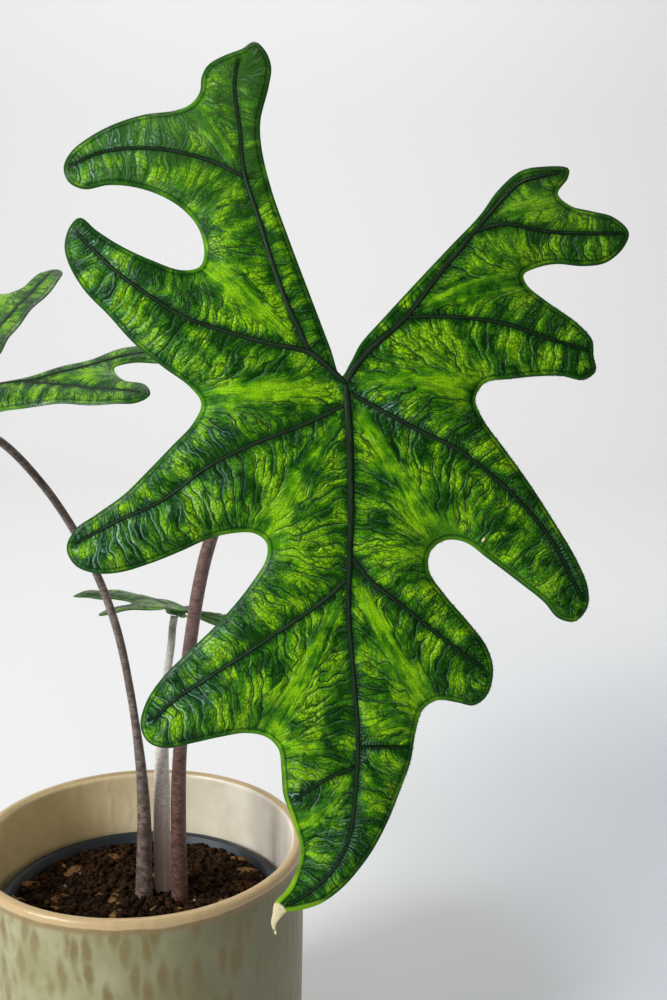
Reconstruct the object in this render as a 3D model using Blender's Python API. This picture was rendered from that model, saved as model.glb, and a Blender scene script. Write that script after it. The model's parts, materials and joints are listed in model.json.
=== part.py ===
"""A potted alocasia with three lobed, quilted leaves.

Each leaf is a blade on its own petiole. The petioles stand in the soil of a nursery pot,
and the nursery pot stands loose inside a glazed outer pot. Units are metres, +Z is up, and
the origin is the middle of the outer pot's underside. The front of the plant faces -Y.
"""
import math

import bpy
import numpy as np
from mathutils import Matrix, Vector
from mathutils.geometry import delaunay_2d_cdt

for old in list(bpy.data.objects):
    bpy.data.objects.remove(old, do_unlink=True)

MM = 0.001
GAP = 0.3 * MM                 # clearance between pieces that touch on the real plant
ROUND = 48                     # facets round the pots and the soil

# Outer pot
POT_RADIUS = 70 * MM
POT_HEIGHT = 130 * MM
POT_WALL = 5 * MM
POT_FLOOR = 7 * MM
POT_BASE_RADIUS = 60 * MM

# Nursery pot, a thin plastic pot with a rolled lip
NURSERY_TOP_RADIUS = 58.5 * MM
NURSERY_BASE_RADIUS = 44 * MM
NURSERY_WALL = 1.4 * MM
NURSERY_LIP_REACH = 2.6 * MM
NURSERY_LIP_DEPTH = 5 * MM
NURSERY_TOP = 102.5 * MM
DRAIN_HOLES = 5
DRAIN_RADIUS = 3.5 * MM
DRAIN_CIRCLE = 30 * MM

# Soil
SOIL_EDGE = 98.5 * MM          # height of the soil at the nursery pot's wall
SOIL_MOUND = 3.5 * MM          # how much higher it lies in the middle
SOIL_LUMP = 0.9 * MM
HOLE_DEPTH = 22 * MM           # how deep the petioles stand in it
HOLE_CLEARANCE = 0.4 * MM

# Leaf blades, in millimetres
BLADE_THICKNESS = 0.8
KNUCKLE_RADIUS = 3.0           # the thick spot on the underside where the petiole joins
KNUCKLE_FADE = 2.6
KNUCKLE_DEPTH = 2.5
CROWN = 0.30                   # how steeply a blade rises from its vein
ROLL = 0.45                    # how strongly it rolls back to its margin
PUFF_LIMIT = 22.0              # width past which a panel puffs up no further
RIPPLE = 0.6                   # the margin's waves
RIPPLE_LENGTH = 24.0
RIPPLE_REACH = 6.0
CALM_RADIUS = 14.0             # round the joint the blade stays flat
LATTICE = 8.0                  # spacing of the points inside a blade
VEIN_STEP = 6.5                # spacing of the points along a vein
VEIN_ROOM = 1.4                # how near a vein's point may lie to another point
RING_ROOM = 1.2                # the same for the ring round the joint
FLANK_ROOM = 1.0               # and for the points beside a vein

# Petioles
NECK = 4 * MM                  # how far a petiole stands straight above the soil
LEAD = 5 * MM                  # how far its end runs straight into the blade
STALK_STEP = 8 * MM            # spacing of its rings


def material(name, colour, roughness):
    """A plain Principled material of one colour."""
    made = bpy.data.materials.new(name)
    made.use_nodes = True
    shader = made.node_tree.nodes["Principled BSDF"]
    shader.inputs["Base Color"].default_value = (*colour, 1)
    shader.inputs["Roughness"].default_value = roughness
    shader.inputs["Metallic"].default_value = 0.0
    return made


def mesh_object(name, points, faces, look=None, smooth_angle=math.radians(40)):
    """An object from its points and faces, shaded smooth except at sharp edges."""
    mesh = bpy.data.meshes.new(name)
    mesh.from_pydata(np.asarray(points).tolist(), [], [list(face) for face in faces])
    mesh.validate()
    mesh.shade_smooth()
    mesh.set_sharp_from_angle(angle=smooth_angle)
    made = bpy.data.objects.new(name, mesh)
    bpy.context.scene.collection.objects.link(made)
    if look:
        mesh.materials.append(look)
    return made


# Curves


def spline(points, closed=False, fine=12):
    """A smooth curve through the points: cubic pieces whose slopes follow the chord lengths."""
    points = np.array(points, float)
    if closed:
        chain = np.vstack([points[-1:], points, points[:2]])
    else:
        chain = np.vstack([2 * points[0] - points[1], points, 2 * points[-1] - points[-2]])
    gaps = np.sqrt(np.linalg.norm(np.diff(chain, axis=0), axis=1))[:, None]
    slopes = np.diff(chain, axis=0) / gaps
    across = (chain[2:] - chain[:-2]) / (gaps[1:] + gaps[:-1])
    tangents = slopes[:-1] + slopes[1:] - across
    start, end, length = chain[1:-2], chain[2:-1], gaps[1:-1]
    pull_start, pull_end = tangents[:-1] * length, tangents[1:] * length
    pieces = []
    for t in np.arange(fine) / fine:
        pieces.append((2 * t**3 - 3 * t**2 + 1) * start + (t**3 - 2 * t**2 + t) * pull_start
                      + (3 * t**2 - 2 * t**3) * end + (t**3 - t**2) * pull_end)
    curve = np.stack(pieces, axis=1).reshape(-1, points.shape[1])
    return curve if closed else np.vstack([curve, points[-1:]])


def resample(curve, step, closed=False):
    """The curve's points, respaced. The step is one length, or one length for each point."""
    if closed:
        curve = np.vstack([curve, curve[:1]])
        step = np.append(step, step[:1]) if np.ndim(step) else step
    pace = np.broadcast_to(step, len(curve)).astype(float)
    lengths = np.linalg.norm(np.diff(curve, axis=0), axis=1)
    marks = np.concatenate([[0], np.cumsum(2 * lengths / (pace[1:] + pace[:-1]))])
    count = max(2, round(marks[-1]))
    wanted = np.linspace(0, marks[-1], count + 1)
    if closed:
        wanted = wanted[:-1]
    return np.stack([np.interp(wanted, marks, column) for column in curve.T], axis=1)


def even_outline(points, tolerance=0.11, shortest=1.6, longest=5.5):
    """A closed outline through the points, with short steps where it bends tightly."""
    curve = resample(spline(points, closed=True), 0.8, closed=True)
    before, after = np.roll(curve, 4, axis=0), np.roll(curve, -4, axis=0)
    turn = np.abs(np.arctan2(np.cross(curve - before, after - curve),
                             np.sum((curve - before) * (after - curve), axis=1)))
    radius = np.linalg.norm(after - before, axis=1) / np.maximum(turn, 1e-4) / 2
    step = np.clip(np.sqrt(8 * radius * tolerance), shortest, longest)
    return resample(curve, step, closed=True)


def nearest_on(points, line, closed=False):
    """Distance from each point to a polyline, and how far along it the nearest spot lies."""
    ends = np.roll(line, -1, axis=0) if closed else line[1:]
    starts = line if closed else line[:-1]
    step = ends - starts
    length = np.linalg.norm(step, axis=1)
    offset = points[:, None] - starts[None]
    t = np.clip(np.sum(offset * step, axis=2) / np.maximum(length**2, 1e-9), 0, 1)
    distance = np.linalg.norm(offset - t[..., None] * step, axis=2)
    which = distance.argmin(axis=1)
    row = np.arange(len(points))
    along = (np.cumsum(length) - length)[which] + t[row, which] * length[which]
    return distance[row, which], along


def inside(points, outline):
    """True for each point inside the closed outline, by counting edge crossings."""
    x, y = points[:, :1], points[:, 1:]
    x0, y0 = outline.T
    x1, y1 = np.roll(outline, -1, axis=0).T
    straddles = (y0 > y) != (y1 > y)
    rise = np.where(y1 == y0, 1.0, y1 - y0)
    return np.sum(straddles & (x < x0 + (y - y0) * (x1 - x0) / rise), axis=1) % 2 == 1


# Leaf blades


def vein(points, width, depth):
    """A vein's centre line, with its half width and rib depth from its start to its end."""
    return {"line": resample(spline(points), VEIN_STEP), "width": width, "depth": depth}


def taper(line, along, start_end):
    """The value that falls evenly from a line's start to its end."""
    total = np.linalg.norm(np.diff(line, axis=0), axis=1).sum()
    return start_end[0] + (start_end[1] - start_end[0]) * along / total


def plan_points(outline, veins):
    """The plan of a blade: its margin, its veins with a flank point on each side, a ring
    round the petiole's joint, and a triangular lattice that fills what is left."""
    kept = outline
    turns = np.arange(8) * math.tau / 8
    ring = KNUCKLE_RADIUS * np.stack([np.cos(turns), np.sin(turns)], axis=1)
    groups = [(branch["line"], VEIN_ROOM) for branch in veins] + [(ring, RING_ROOM)]
    for branch in veins:
        line = branch["line"]
        heading = np.gradient(line, axis=0)
        heading /= np.linalg.norm(heading, axis=1)[:, None]
        reach = np.linspace(*branch["width"], len(line))[:, None]
        side = reach * np.stack([-heading[:, 1], heading[:, 0]], axis=1)
        groups.append((np.vstack([line + side, line - side]), FLANK_ROOM))
    low, high = outline.min(axis=0), outline.max(axis=0)
    columns = np.arange(low[0], high[0], LATTICE)
    rows = np.arange(low[1], high[1], LATTICE * math.sqrt(0.75))
    x, y = np.meshgrid(columns, rows)
    x[1::2] += LATTICE / 2
    groups.append((np.stack([x.ravel(), y.ravel()], axis=1), 0.5 * LATTICE))
    for points, room in groups:
        points = points[inside(points, outline)]
        points = points[nearest_on(points, outline, closed=True)[0] > 0.8 * room]
        for point in points:
            if np.linalg.norm(kept - point, axis=1).min() > room:
                kept = np.vstack([kept, point])
    return kept


def panel_height(points, outline, veins):
    """The quilted form. A panel leaves its vein at a slope, crowns half way to the margin
    and rolls back down at it. The height grows with the panel's width, up to a limit."""
    to_vein = np.min([nearest_on(points, branch["line"])[0] for branch in veins], axis=0)
    to_margin, along = nearest_on(points, outline, closed=True)
    width = to_vein + to_margin
    u = to_vein / np.maximum(width, 1e-6)
    puff = PUFF_LIMIT * np.tanh(width / PUFF_LIMIT) * (CROWN * u - ROLL * u**3)
    wave = RIPPLE * np.sin(math.tau * along / RIPPLE_LENGTH) * np.exp(-to_margin / RIPPLE_REACH)
    calm = np.clip(np.linalg.norm(points, axis=1) / CALM_RADIUS - 0.4, 0, 1)
    return (puff + wave) * calm


def rib_depth(points, veins):
    """How far the underside stands out: a ridge under each vein, and the petiole's knuckle."""
    reach = np.linalg.norm(points, axis=1)
    depth = KNUCKLE_DEPTH * np.clip(1 - (reach - KNUCKLE_RADIUS) / KNUCKLE_FADE, 0, 1)
    for branch in veins:
        away, along = nearest_on(points, branch["line"])
        half = taper(branch["line"], along, branch["width"])
        ridge = taper(branch["line"], along, branch["depth"]) * np.clip(1 - away / half, 0, 1)
        depth = np.maximum(depth, ridge)
    return depth


def blade(name, outline, veins, form, place, look):
    """A closed leaf blade. Its middle surface is the plan lifted by the form and the panels,
    and each point moves out along the surface's normal to the upper and the lower face."""
    outline = even_outline(outline)
    plan = plan_points(outline, veins)
    margin = list(range(len(outline)))
    cut = delaunay_2d_cdt([Vector(p) for p in plan], [], [margin], 1, 1e-6)
    plan = np.array([list(p) for p in cut[0]])
    triangles = np.array(cut[2])
    height = form(plan[:, 0], plan[:, 1]) + panel_height(plan, outline, veins)
    middle = place(plan[:, 0], plan[:, 1], height)
    a, b, c = (middle[triangles[:, k]] for k in range(3))
    facing = np.cross(b - a, c - a)
    normals = np.zeros_like(middle)
    for k in range(3):
        np.add.at(normals, triangles[:, k], facing)
    normals /= np.linalg.norm(normals, axis=1)[:, None]
    upper = middle + normals * BLADE_THICKNESS / 2
    lower = middle - normals * (BLADE_THICKNESS / 2 + rib_depth(plan, veins))[:, None]
    count = len(plan)
    faces = [tuple(t) for t in triangles] + [tuple(t[::-1] + count) for t in triangles]
    used = {}
    for t in triangles:
        for k in range(3):
            used[(t[k], t[(k + 1) % 3])] = True
    for start, end in used:
        if (end, start) not in used:
            faces.append((start + count, end + count, end))
            faces.append((start + count, end, start))
    return mesh_object(name, np.vstack([upper, lower]) * MM, faces, look, math.radians(60))


def leaf_axes(backward, upward):
    """The turn of a leaf: its local Y runs to the posterior lobes and its Z out of the face."""
    y = Vector(backward).normalized()
    x = y.cross(Vector(upward)).normalized()
    return Matrix((x, y, x.cross(y))).transposed()


def seat(leaf, joint, axes):
    """Put a blade's joint where its petiole ends, and turn it."""
    leaf.location = joint
    leaf.rotation_euler = axes.to_euler()


def flat_place(x, y, height):
    """Points of a leaf that is drawn in its own plane."""
    return np.stack([x, y, height], axis=1)


def lobed_outline(lobes):
    """The outline of a leaf from its lobes, anticlockwise from the basal sinus. Each lobe
    gives its axis, half width and free length, and the points of the bay that follows it."""
    outline = []
    for root, tip, half, free, bay in lobes:
        root, tip = np.array(root, float), np.array(tip, float)
        axis = (tip - root) / np.linalg.norm(tip - root)
        side = half * np.array([axis[1], -axis[0]])
        outline += [tip - 0.55 * free * axis + side, tip - 0.16 * free * axis + 0.72 * side, tip]
        outline += [tip - 0.16 * free * axis - 0.72 * side, tip - 0.55 * free * axis - side]
        outline += [np.array(point, float) for point in bay]
    return outline


# The front leaf's margin in millimetres from its joint, anticlockwise from the basal sinus
LEFT_POSTERIOR_LOBE = [
    (-1.7, 2), (-5.5, 12), (-12, 29), (-19, 47.5), (-25.5, 66), (-28.8, 80.5), (-29, 89),
    (-26.3, 100), (-25.4, 107), (-27.5, 112.5), (-31, 115.4), (-35, 113), (-41, 110.7),
    (-46.5, 107.5), (-48.7, 103.5), (-49.3, 98.5), (-52.5, 94.2)]
LEFT_LOBE_1 = [
    (-58, 92), (-68, 90.7), (-78, 87.6), (-86.5, 83.2), (-93, 78), (-95.4, 72.8), (-93.7, 68),
    (-88.5, 65.6), (-80.5, 67), (-71.5, 66.3), (-62.3, 63.3), (-54.8, 58.5)]
LEFT_BAY_1 = [(-49.6, 52), (-47.8, 44), (-49.3, 39.3)]
LEFT_LOBE_2 = [
    (-55.5, 38), (-66.3, 41.6), (-76.5, 46.4), (-84.5, 51.5), (-90, 55.8), (-93.2, 53),
    (-95.1, 46.5), (-93.7, 40.3), (-88.5, 31.5), (-80.3, 23), (-71.8, 13.6), (-61.5, 5.2),
    (-52.7, -1.3)]
LEFT_BAY_2 = [(-48.8, -7)]
LEFT_LOBE_3 = [
    (-51.8, -14), (-59, -21.7), (-67, -30), (-75, -37.9), (-84.5, -44.7), (-91.5, -49.7),
    (-94.4, -56), (-91.5, -61.7), (-85, -64.3), (-76.5, -64), (-66.3, -61), (-56, -56.9),
    (-46.7, -52.8), (-38.5, -50.8)]
LEFT_BAY_3 = [(-31, -50.8), (-26.8, -54), (-26.8, -59.5)]
LEFT_LOBE_4 = [
    (-31, -66.7), (-37.2, -74.8), (-45.3, -83.6), (-54.5, -92.3), (-62.5, -100.5),
    (-67.5, -108.2), (-69.4, -116), (-66.8, -121.5), (-61, -123.5), (-52, -121.8),
    (-43, -119.8), (-34, -118.4)]
LEFT_BAY_4 = [(-27, -119.7), (-22.8, -123.7), (-21.7, -131)]
END_LOBE_LEFT = [
    (-21, -139.4), (-17.8, -148.7), (-15.2, -158), (-16.8, -165.5), (-20, -171.6), (-24, -176)]
DRY_TIP = [(-25.3, -180.5), (-25.2, -184), (-23.9, -186.5), (-23, -183), (-20.3, -179.3)]
END_LOBE_RIGHT = [
    (-17.5, -178.7), (-9, -176.3), (-1.5, -171), (4.7, -164.1), (9.3, -157.5), (14, -148.5),
    (18.2, -138), (21.7, -128.3), (23.5, -118)]
RIGHT_BAY_4 = [(26, -110.5), (31, -107.3)]
RIGHT_LOBE_4 = [
    (37.5, -108), (43.3, -109), (47.8, -105.5), (49.7, -97), (47.5, -89.3), (41.3, -81), (33.3, -71.7)]
RIGHT_BAY_3 = [(28, -63.5), (28.6, -57), (33.5, -53.2)]
RIGHT_LOBE_3 = [
    (40.3, -53.8), (48, -59.3), (59.5, -68), (67, -74), (72, -79.6), (77.5, -80.6), (81.6, -76),
    (81.8, -69.5), (78, -60), (70, -46.5), (61.6, -33.5), (53.5, -22.3), (46.4, -12.5)]
RIGHT_BAY_2 = [(43.7, -5.5), (47, 0)]
RIGHT_LOBE_2 = [
    (55.5, 1.4), (66, 2.4), (73, 2.4), (80.5, 1.1), (84.5, 4.2), (83.7, 9), (83.2, 14.5),
    (78, 20.3), (68.4, 27.1), (61.2, 33)]
RIGHT_BAY_1 = [(60, 36.6), (64.5, 39)]
RIGHT_LOBE_1 = [
    (71, 40.3), (80.5, 39.6), (88, 40.8), (94, 46), (95.6, 51), (90.4, 56), (83, 58), (76, 59.8)]
RIGHT_POSTERIOR_LOBE = [
    (71.6, 64), (75, 69.3), (75.3, 72.4), (66, 73), (59, 71.5), (51.5, 65), (45.5, 56.7),
    (36, 46.7), (24.5, 34.5), (12.5, 21.5), (5, 13), (1.7, 6.8)]
FRONT_OUTLINE = (
    LEFT_POSTERIOR_LOBE + LEFT_LOBE_1 + LEFT_BAY_1 + LEFT_LOBE_2 + LEFT_BAY_2 + LEFT_LOBE_3
    + LEFT_BAY_3 + LEFT_LOBE_4 + LEFT_BAY_4 + END_LOBE_LEFT + DRY_TIP + END_LOBE_RIGHT
    + RIGHT_BAY_4 + RIGHT_LOBE_4 + RIGHT_BAY_3 + RIGHT_LOBE_3 + RIGHT_BAY_2 + RIGHT_LOBE_2
    + RIGHT_BAY_1 + RIGHT_LOBE_1 + RIGHT_POSTERIOR_LOBE)

# Half width and rib depth of a vein, at its start and at its end
MIDRIB = ((2.2, 1.0), (2.5, 0.9))
COSTA = ((1.7, 0.8), (2.0, 0.7))
SIDE_VEIN = ((1.5, 0.7), (1.6, 0.6))
SMALL_VEIN = ((0.9, 0.6), (0.8, 0.5))

FRONT_VEINS = [
    vein([(0, 0), (1.4, -22.7), (1.7, -46), (1, -66.7), (1, -80), (2.7, -100.5), (4.1, -120.8),
          (3, -141), (1, -154), (-4.4, -164.8), (-13.9, -173.3), (-19.6, -176.3)], *MIDRIB),
    vein([(-12.2, 10.2), (-19, 24.7), (-25, 40.9), (-29.8, 56.9), (-34.2, 70.4), (-35.9, 85.6),
          (-37.6, 100.8), (-36.5, 109)], *COSTA),
    vein([(-33.5, 69), (-44.3, 74.4), (-59.6, 78.5), (-73.1, 79.2), (-84.9, 77.2), (-93, 73.3)],
         *SIDE_VEIN),
    vein([(0, 0), (-7.1, 6.1), (-12.2, 10.2), (-25.7, 13.2), (-42.6, 17.9), (-56.2, 23),
          (-68, 30.5), (-79.2, 38.9), (-91, 50.8)], *COSTA),
    vein([(0, -7.4), (-12.2, -13.2), (-32.5, -21.3), (-46, -28.1), (-62.9, -40.3), (-76.5, -46.4),
          (-91, -54)], *SIDE_VEIN),
    vein([(1, -66), (-7.1, -73.4), (-25.7, -86.3), (-46, -99.5), (-57.9, -107.3), (-65, -114)],
         *SIDE_VEIN),
    vein([(3, -129.9), (-7.1, -134.3), (-16.5, -140.5)], *SMALL_VEIN),
    vein([(4.1, -123.2), (20.5, -123.2)], *SMALL_VEIN),
    vein([(2, -58.9), (8.1, -66.7), (18.3, -74.8), (31.8, -85.6), (46.6, -96.6)], *SIDE_VEIN),
    vein([(1.4, -3.4), (11.5, -9.1), (25, -16.2), (36.9, -22), (48.7, -30.8), (58.9, -40.3),
          (69, -52.5), (79.6, -72.5)], *SIDE_VEIN),
    vein([(0, 0), (5.4, 8.5), (20, 22), (30.8, 35.5), (43.7, 51.1), (53.8, 62.9), (59.5, 67.8),
          (72, 71)], *COSTA),
    vein([(20, 22), (31.8, 22.3), (52.1, 20.3), (65.6, 15.9), (81.5, 10.8)], *SIDE_VEIN),
    vein([(43.7, 51.1), (53.8, 53.5), (67.3, 51.1), (79.2, 50.4), (93, 50.4)], *SIDE_VEIN)]

# The front leaf was drawn as seen from one eye point, given from its joint in millimetres.
# A point that is raised or lowered slides along its line of sight, so the drawing stays true.
EYE = np.array([-4.2, -39.6, 470.0])
FRONT_JOINT = (86.9 * MM, -75.6 * MM, 335.2 * MM)
FRONT_AXES = leaf_axes((0, 0.2276, 0.9738), (0, -0.9738, 0.2276))


def front_place(x, y, height):
    """Points of the front leaf, moved along their lines of sight by their height."""
    flat = np.stack([x, y, np.zeros_like(x)], axis=1)
    return flat + (EYE - flat) * (height / EYE[2])[:, None]


def front_form(x, y):
    """The front leaf hangs face on. Its posterior lobes lean back, the right one most,
    its side lobes droop a little, and its end curls back."""
    up, right, down = np.maximum(y, 0), np.maximum(x, 0), np.maximum(-y, 0)
    return -0.0022 * up**2 - 0.0033 * right * up - 0.0009 * x**2 - 0.0004 * down**2


# The left leaf, seen from the front along its face, with its near half at +X
LEFT_LOBES = [
    ((-22, 30), (-63.5, 77), 9.5, 30, [(-62, 51)]),
    ((-22, 36), (-84, 40), 9.5, 30, [(-45, 21)]),
    ((0, -4), (-82, -6), 11, 34, [(-38, -32)]),
    ((0, -45), (-60, -84), 10.5, 32, [(-20, -92)]),
    ((0, -60), (2, -150), 13, 52, [(21, -90)]),
    ((0, -42), (58, -80), 10.5, 32, [(37, -30)]),
    ((0, -4), (72, -5), 11, 30, [(34, 14), (38.5, 28), (47.5, 40.5)]),
    ((33, 38), (67, 71), 7, 24, [(41.8, 66.5), (44.5, 74)]),
    ((36, 66), (54, 101), 7, 20, [
        (32, 75), (28, 58), (22.5, 42), (18.5, 28), (9, 11), (0.5, 3), (-0.5, 14), (-5, 30),
        (-17, 41), (-31, 54.5)])]
LEFT_VEINS = [
    vein([(0, 0), (0.5, -45), (0, -90), (2, -144)], *MIDRIB),
    vein([(0, 0), (-10, 17), (-22, 33), (-40, 53), (-60, 74.5)], *COSTA),
    vein([(-22, 33), (-50, 37), (-80, 40)], *SIDE_VEIN),
    vein([(0, -4), (-40, -4), (-78, -6)], *SIDE_VEIN),
    vein([(0, -45), (-30, -66), (-57, -82)], *SIDE_VEIN),
    vein([(0, -42), (30, -62), (55, -78)], *SIDE_VEIN),
    vein([(0, -4), (36, -4), (68, -5)], *SIDE_VEIN),
    vein([(23, 33), (44, 50), (64, 68)], *SIDE_VEIN),
    vein([(0, 0), (11, 14), (23, 33), (30, 48), (35.5, 65), (43, 82), (51, 96)], *COSTA)]
LEFT_JOINT = (-81 * MM, 15 * MM, 318 * MM)
LEFT_AXES = leaf_axes((0.858, 0.350, 0.376), (-0.213, -0.424, 0.880))


def left_form(x, y):
    """The left leaf arches down to its end and along both sides."""
    return -0.0016 * np.maximum(-y, 0)**2 - 0.0008 * x**2


# The back leaf, younger and smaller, seen edge on from the front
BACK_LOBES = [
    ((-5, 10), (-21, 37), 7, 20, [(-21, 15)]),
    ((-3, 4), (-45, 7), 6.5, 22, [(-18, -13)]),
    ((0, -22), (-34, -43), 6, 20, [(-10.5, -46)]),
    ((0, -30), (1, -84), 8, 30, [(10.5, -46)]),
    ((0, -22), (27, -37), 6, 16, [(16.5, -12)]),
    ((3, 4), (44, 9), 6.5, 22, [(21, 16)]),
    ((5, 10), (20, 38), 7, 20, [(6, 16), (0, 3), (-6, 16)])]
BACK_VEINS = [
    vein([(0, 0), (0, -40), (1, -80)], *SIDE_VEIN),
    vein([(0, 0), (-11, 17), (-20, 34)], *SIDE_VEIN),
    vein([(-2, 3), (-22, 6), (-42, 7)], *SMALL_VEIN),
    vein([(0, -22), (-17, -34), (-32, -41.5)], *SMALL_VEIN),
    vein([(0, -22), (14, -30.5), (25, -36)], *SMALL_VEIN),
    vein([(2, 3), (22, 7), (41, 9)], *SMALL_VEIN),
    vein([(0, 0), (11, 17), (19, 35)], *SIDE_VEIN)]
BACK_JOINT = (11 * MM, 60 * MM, 212 * MM)
BACK_AXES = leaf_axes((0.68, -0.75, 0.20), (0.20, 0.30, 0.93))


def back_form(x, y):
    """The back leaf rises from its joint, arches over to its end and droops to both sides."""
    down = np.maximum(-y, 0)
    return 0.22 * down - 0.0022 * down**2 - 0.0045 * x**2


# Petioles


def joint_face(joint, axes):
    """Where a petiole's end stops: clear of the knuckle, along the leaf's own normal."""
    normal = np.array(axes.col[2])
    stop = (BLADE_THICKNESS / 2 + KNUCKLE_DEPTH) * MM + GAP
    return np.array(joint) - normal * stop, normal


def petiole(name, base, route, leaf, sheath, radii, look):
    """A round stalk. It stands straight in its hole, then follows the route, and meets the
    blade square to its underside. Its foot is thicker, because it sheathes the next one: the
    sheath thins between two heights above the soil. The radii are at foot, middle and end."""
    end, normal = joint_face(*leaf)
    foot = np.array([*base, SOIL_EDGE + SOIL_MOUND - HOLE_DEPTH])
    neck = np.array([*base, SOIL_EDGE + SOIL_MOUND + NECK])
    points = [foot, neck, *[np.array(point) * MM for point in route], end - LEAD * normal, end]
    path = resample(spline(points), STALK_STEP)
    path[path[:, 2] < neck[2], :2] = base
    along = np.concatenate([[0], np.cumsum(np.linalg.norm(np.diff(path, axis=0), axis=1))])
    marks = [HOLE_DEPTH + sheath[0], HOLE_DEPTH + sheath[1], along[-1]]
    return tube(name, path, np.interp(along, marks, radii), normal, look)


def tube(name, path, radius, end_heading, look, sides=12):
    """A tube of changing radius along a path, closed at both ends. It starts upright. Each
    ring is turned from the last one only as much as the path bends, so it has no twist."""
    heading = np.gradient(path, axis=0)
    heading[0] = (0, 0, 1)
    heading[-1] = end_heading
    across = Vector((1, 0, 0))
    turns = np.arange(sides) * math.tau / sides
    rings = []
    for centre, reach, forward in zip(path, radius, heading):
        forward = Vector(forward).normalized()
        across = (across - forward * across.dot(forward)).normalized()
        other = forward.cross(across)
        ring = np.outer(np.cos(turns), across) + np.outer(np.sin(turns), other)
        rings.append(centre + reach * ring)
    points = np.vstack([*rings, path[:1], path[-1:]])
    return mesh_object(name, points, ring_faces(len(path), sides), look)


def ring_faces(rows, sides):
    """Faces round a stack of rings, first ring lowest, closed by a fan at each end. The two
    middle points of the fans come after the rings."""
    first, last, top = rows * sides, rows * sides + 1, (rows - 1) * sides
    faces = []
    for k in range(sides):
        after = (k + 1) % sides
        faces += [(first, after, k), (last, top + k, top + after)]
        for row in range(0, top, sides):
            faces.append((row + k, row + after, row + sides + after, row + sides + k))
    return faces


# Pots and soil


def turned(name, profile, look, heights=None):
    """A body turned round Z. The profile runs from the axis below, up the outside, and back
    to the axis above. The heights function, where given, lifts the points of the top."""
    turns = np.arange(ROUND) * math.tau / ROUND
    rings = [np.stack([r * np.cos(turns), r * np.sin(turns), z + 0 * turns], axis=1)
             for r, z in profile[1:-1]]
    ends = np.array([(0, 0, profile[0][1]), (0, 0, profile[-1][1])])
    points = np.vstack([*rings, ends])
    if heights:
        points[:, 2] += heights(points)
    return mesh_object(name, points, ring_faces(len(rings), ROUND), look)


def cut_wells(body, centres, radius, bottom, top):
    """Cut round upright wells out of a body, each with its own hidden cutter."""
    for number, centre in enumerate(centres, 1):
        bpy.ops.mesh.primitive_cylinder_add(
            vertices=24, radius=radius, depth=top - bottom,
            location=(centre[0], centre[1], (top + bottom) / 2))
        cutter = bpy.context.object
        cutter.name = f"{body.name}_cutter_{number}"
        cutter.hide_render = True
        cutter.display_type = "WIRE"
        cut = body.modifiers.new(f"well_{number}", "BOOLEAN")
        cut.operation = "DIFFERENCE"
        cut.solver = "EXACT"
        cut.object = cutter


def outer_pot(look):
    """The glazed pot: a flat underside, nearly upright walls and a rounded rim."""
    inner = POT_RADIUS - POT_WALL
    lip = POT_WALL / 2
    rim = []
    for t in np.linspace(0, math.pi, 7):
        rim.append((POT_RADIUS - lip + lip * math.cos(t), POT_HEIGHT - lip + lip * math.sin(t)))
    profile = [
        (0, 0), (POT_BASE_RADIUS - 2 * MM, 0), (POT_BASE_RADIUS, 0.8 * MM),
        (POT_BASE_RADIUS + 4 * MM, 5 * MM), (POT_RADIUS - 3.5 * MM, 14 * MM),
        (POT_RADIUS - 1.7 * MM, 40 * MM), (POT_RADIUS - 0.6 * MM, 85 * MM), *rim,
        (inner - 0.6 * MM, 85 * MM), (inner - 2 * MM, 40 * MM), (inner - 5 * MM, 17 * MM),
        (inner - 10 * MM, POT_FLOOR + 2 * MM), (inner - 15 * MM, POT_FLOOR), (0, POT_FLOOR)]
    return turned("outer_pot", profile, look)


def nursery_profile():
    """Radius of the nursery pot's inner wall at a height, which the soil follows."""
    floor = POT_FLOOR + GAP
    slope = (NURSERY_TOP_RADIUS - NURSERY_BASE_RADIUS) / (NURSERY_TOP - floor)
    return floor, lambda z: NURSERY_BASE_RADIUS - NURSERY_WALL + slope * (z - floor)


def nursery_pot(look):
    """The plastic pot that holds the soil, with drain holes and a lip that turns outward."""
    floor, inner = nursery_profile()
    lip = NURSERY_TOP_RADIUS + NURSERY_LIP_REACH
    under = NURSERY_TOP - NURSERY_LIP_DEPTH
    profile = [
        (0, floor), (NURSERY_BASE_RADIUS, floor), (inner(under) + NURSERY_WALL, under),
        (lip - 0.4 * MM, under), (lip, under + 1 * MM), (lip, NURSERY_TOP - 1.2 * MM),
        (lip - 1 * MM, NURSERY_TOP), (inner(NURSERY_TOP) + 0.5 * MM, NURSERY_TOP),
        (inner(NURSERY_TOP), NURSERY_TOP - 0.6 * MM),
        (inner(floor + NURSERY_WALL), floor + NURSERY_WALL), (0, floor + NURSERY_WALL)]
    pot = turned("nursery_pot", profile, look)
    turns = [k * math.tau / DRAIN_HOLES for k in range(DRAIN_HOLES)]
    centres = [(DRAIN_CIRCLE * math.cos(t), DRAIN_CIRCLE * math.sin(t)) for t in turns]
    cut_wells(pot, centres, DRAIN_RADIUS, floor - 2 * MM, floor + 4 * MM)
    return pot


def soil_lumps(points):
    """The soil's top: a low mound with lumps from crossed waves, faded out at the wall."""
    x, y, z = points.T
    reach = np.hypot(x, y) / NURSERY_TOP_RADIUS
    on_top = z > SOIL_EDGE - 0.1 * MM
    waves = np.sin(330 * x + 2 * np.sin(210 * y)) * np.sin(290 * y + 1.7)
    waves += 0.6 * np.sin(610 * x - 430 * y)
    fade = np.clip((1 - reach) * 6, 0, 1)
    return on_top * (SOIL_MOUND * (1 - reach**2) + SOIL_LUMP * waves * fade)


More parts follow.
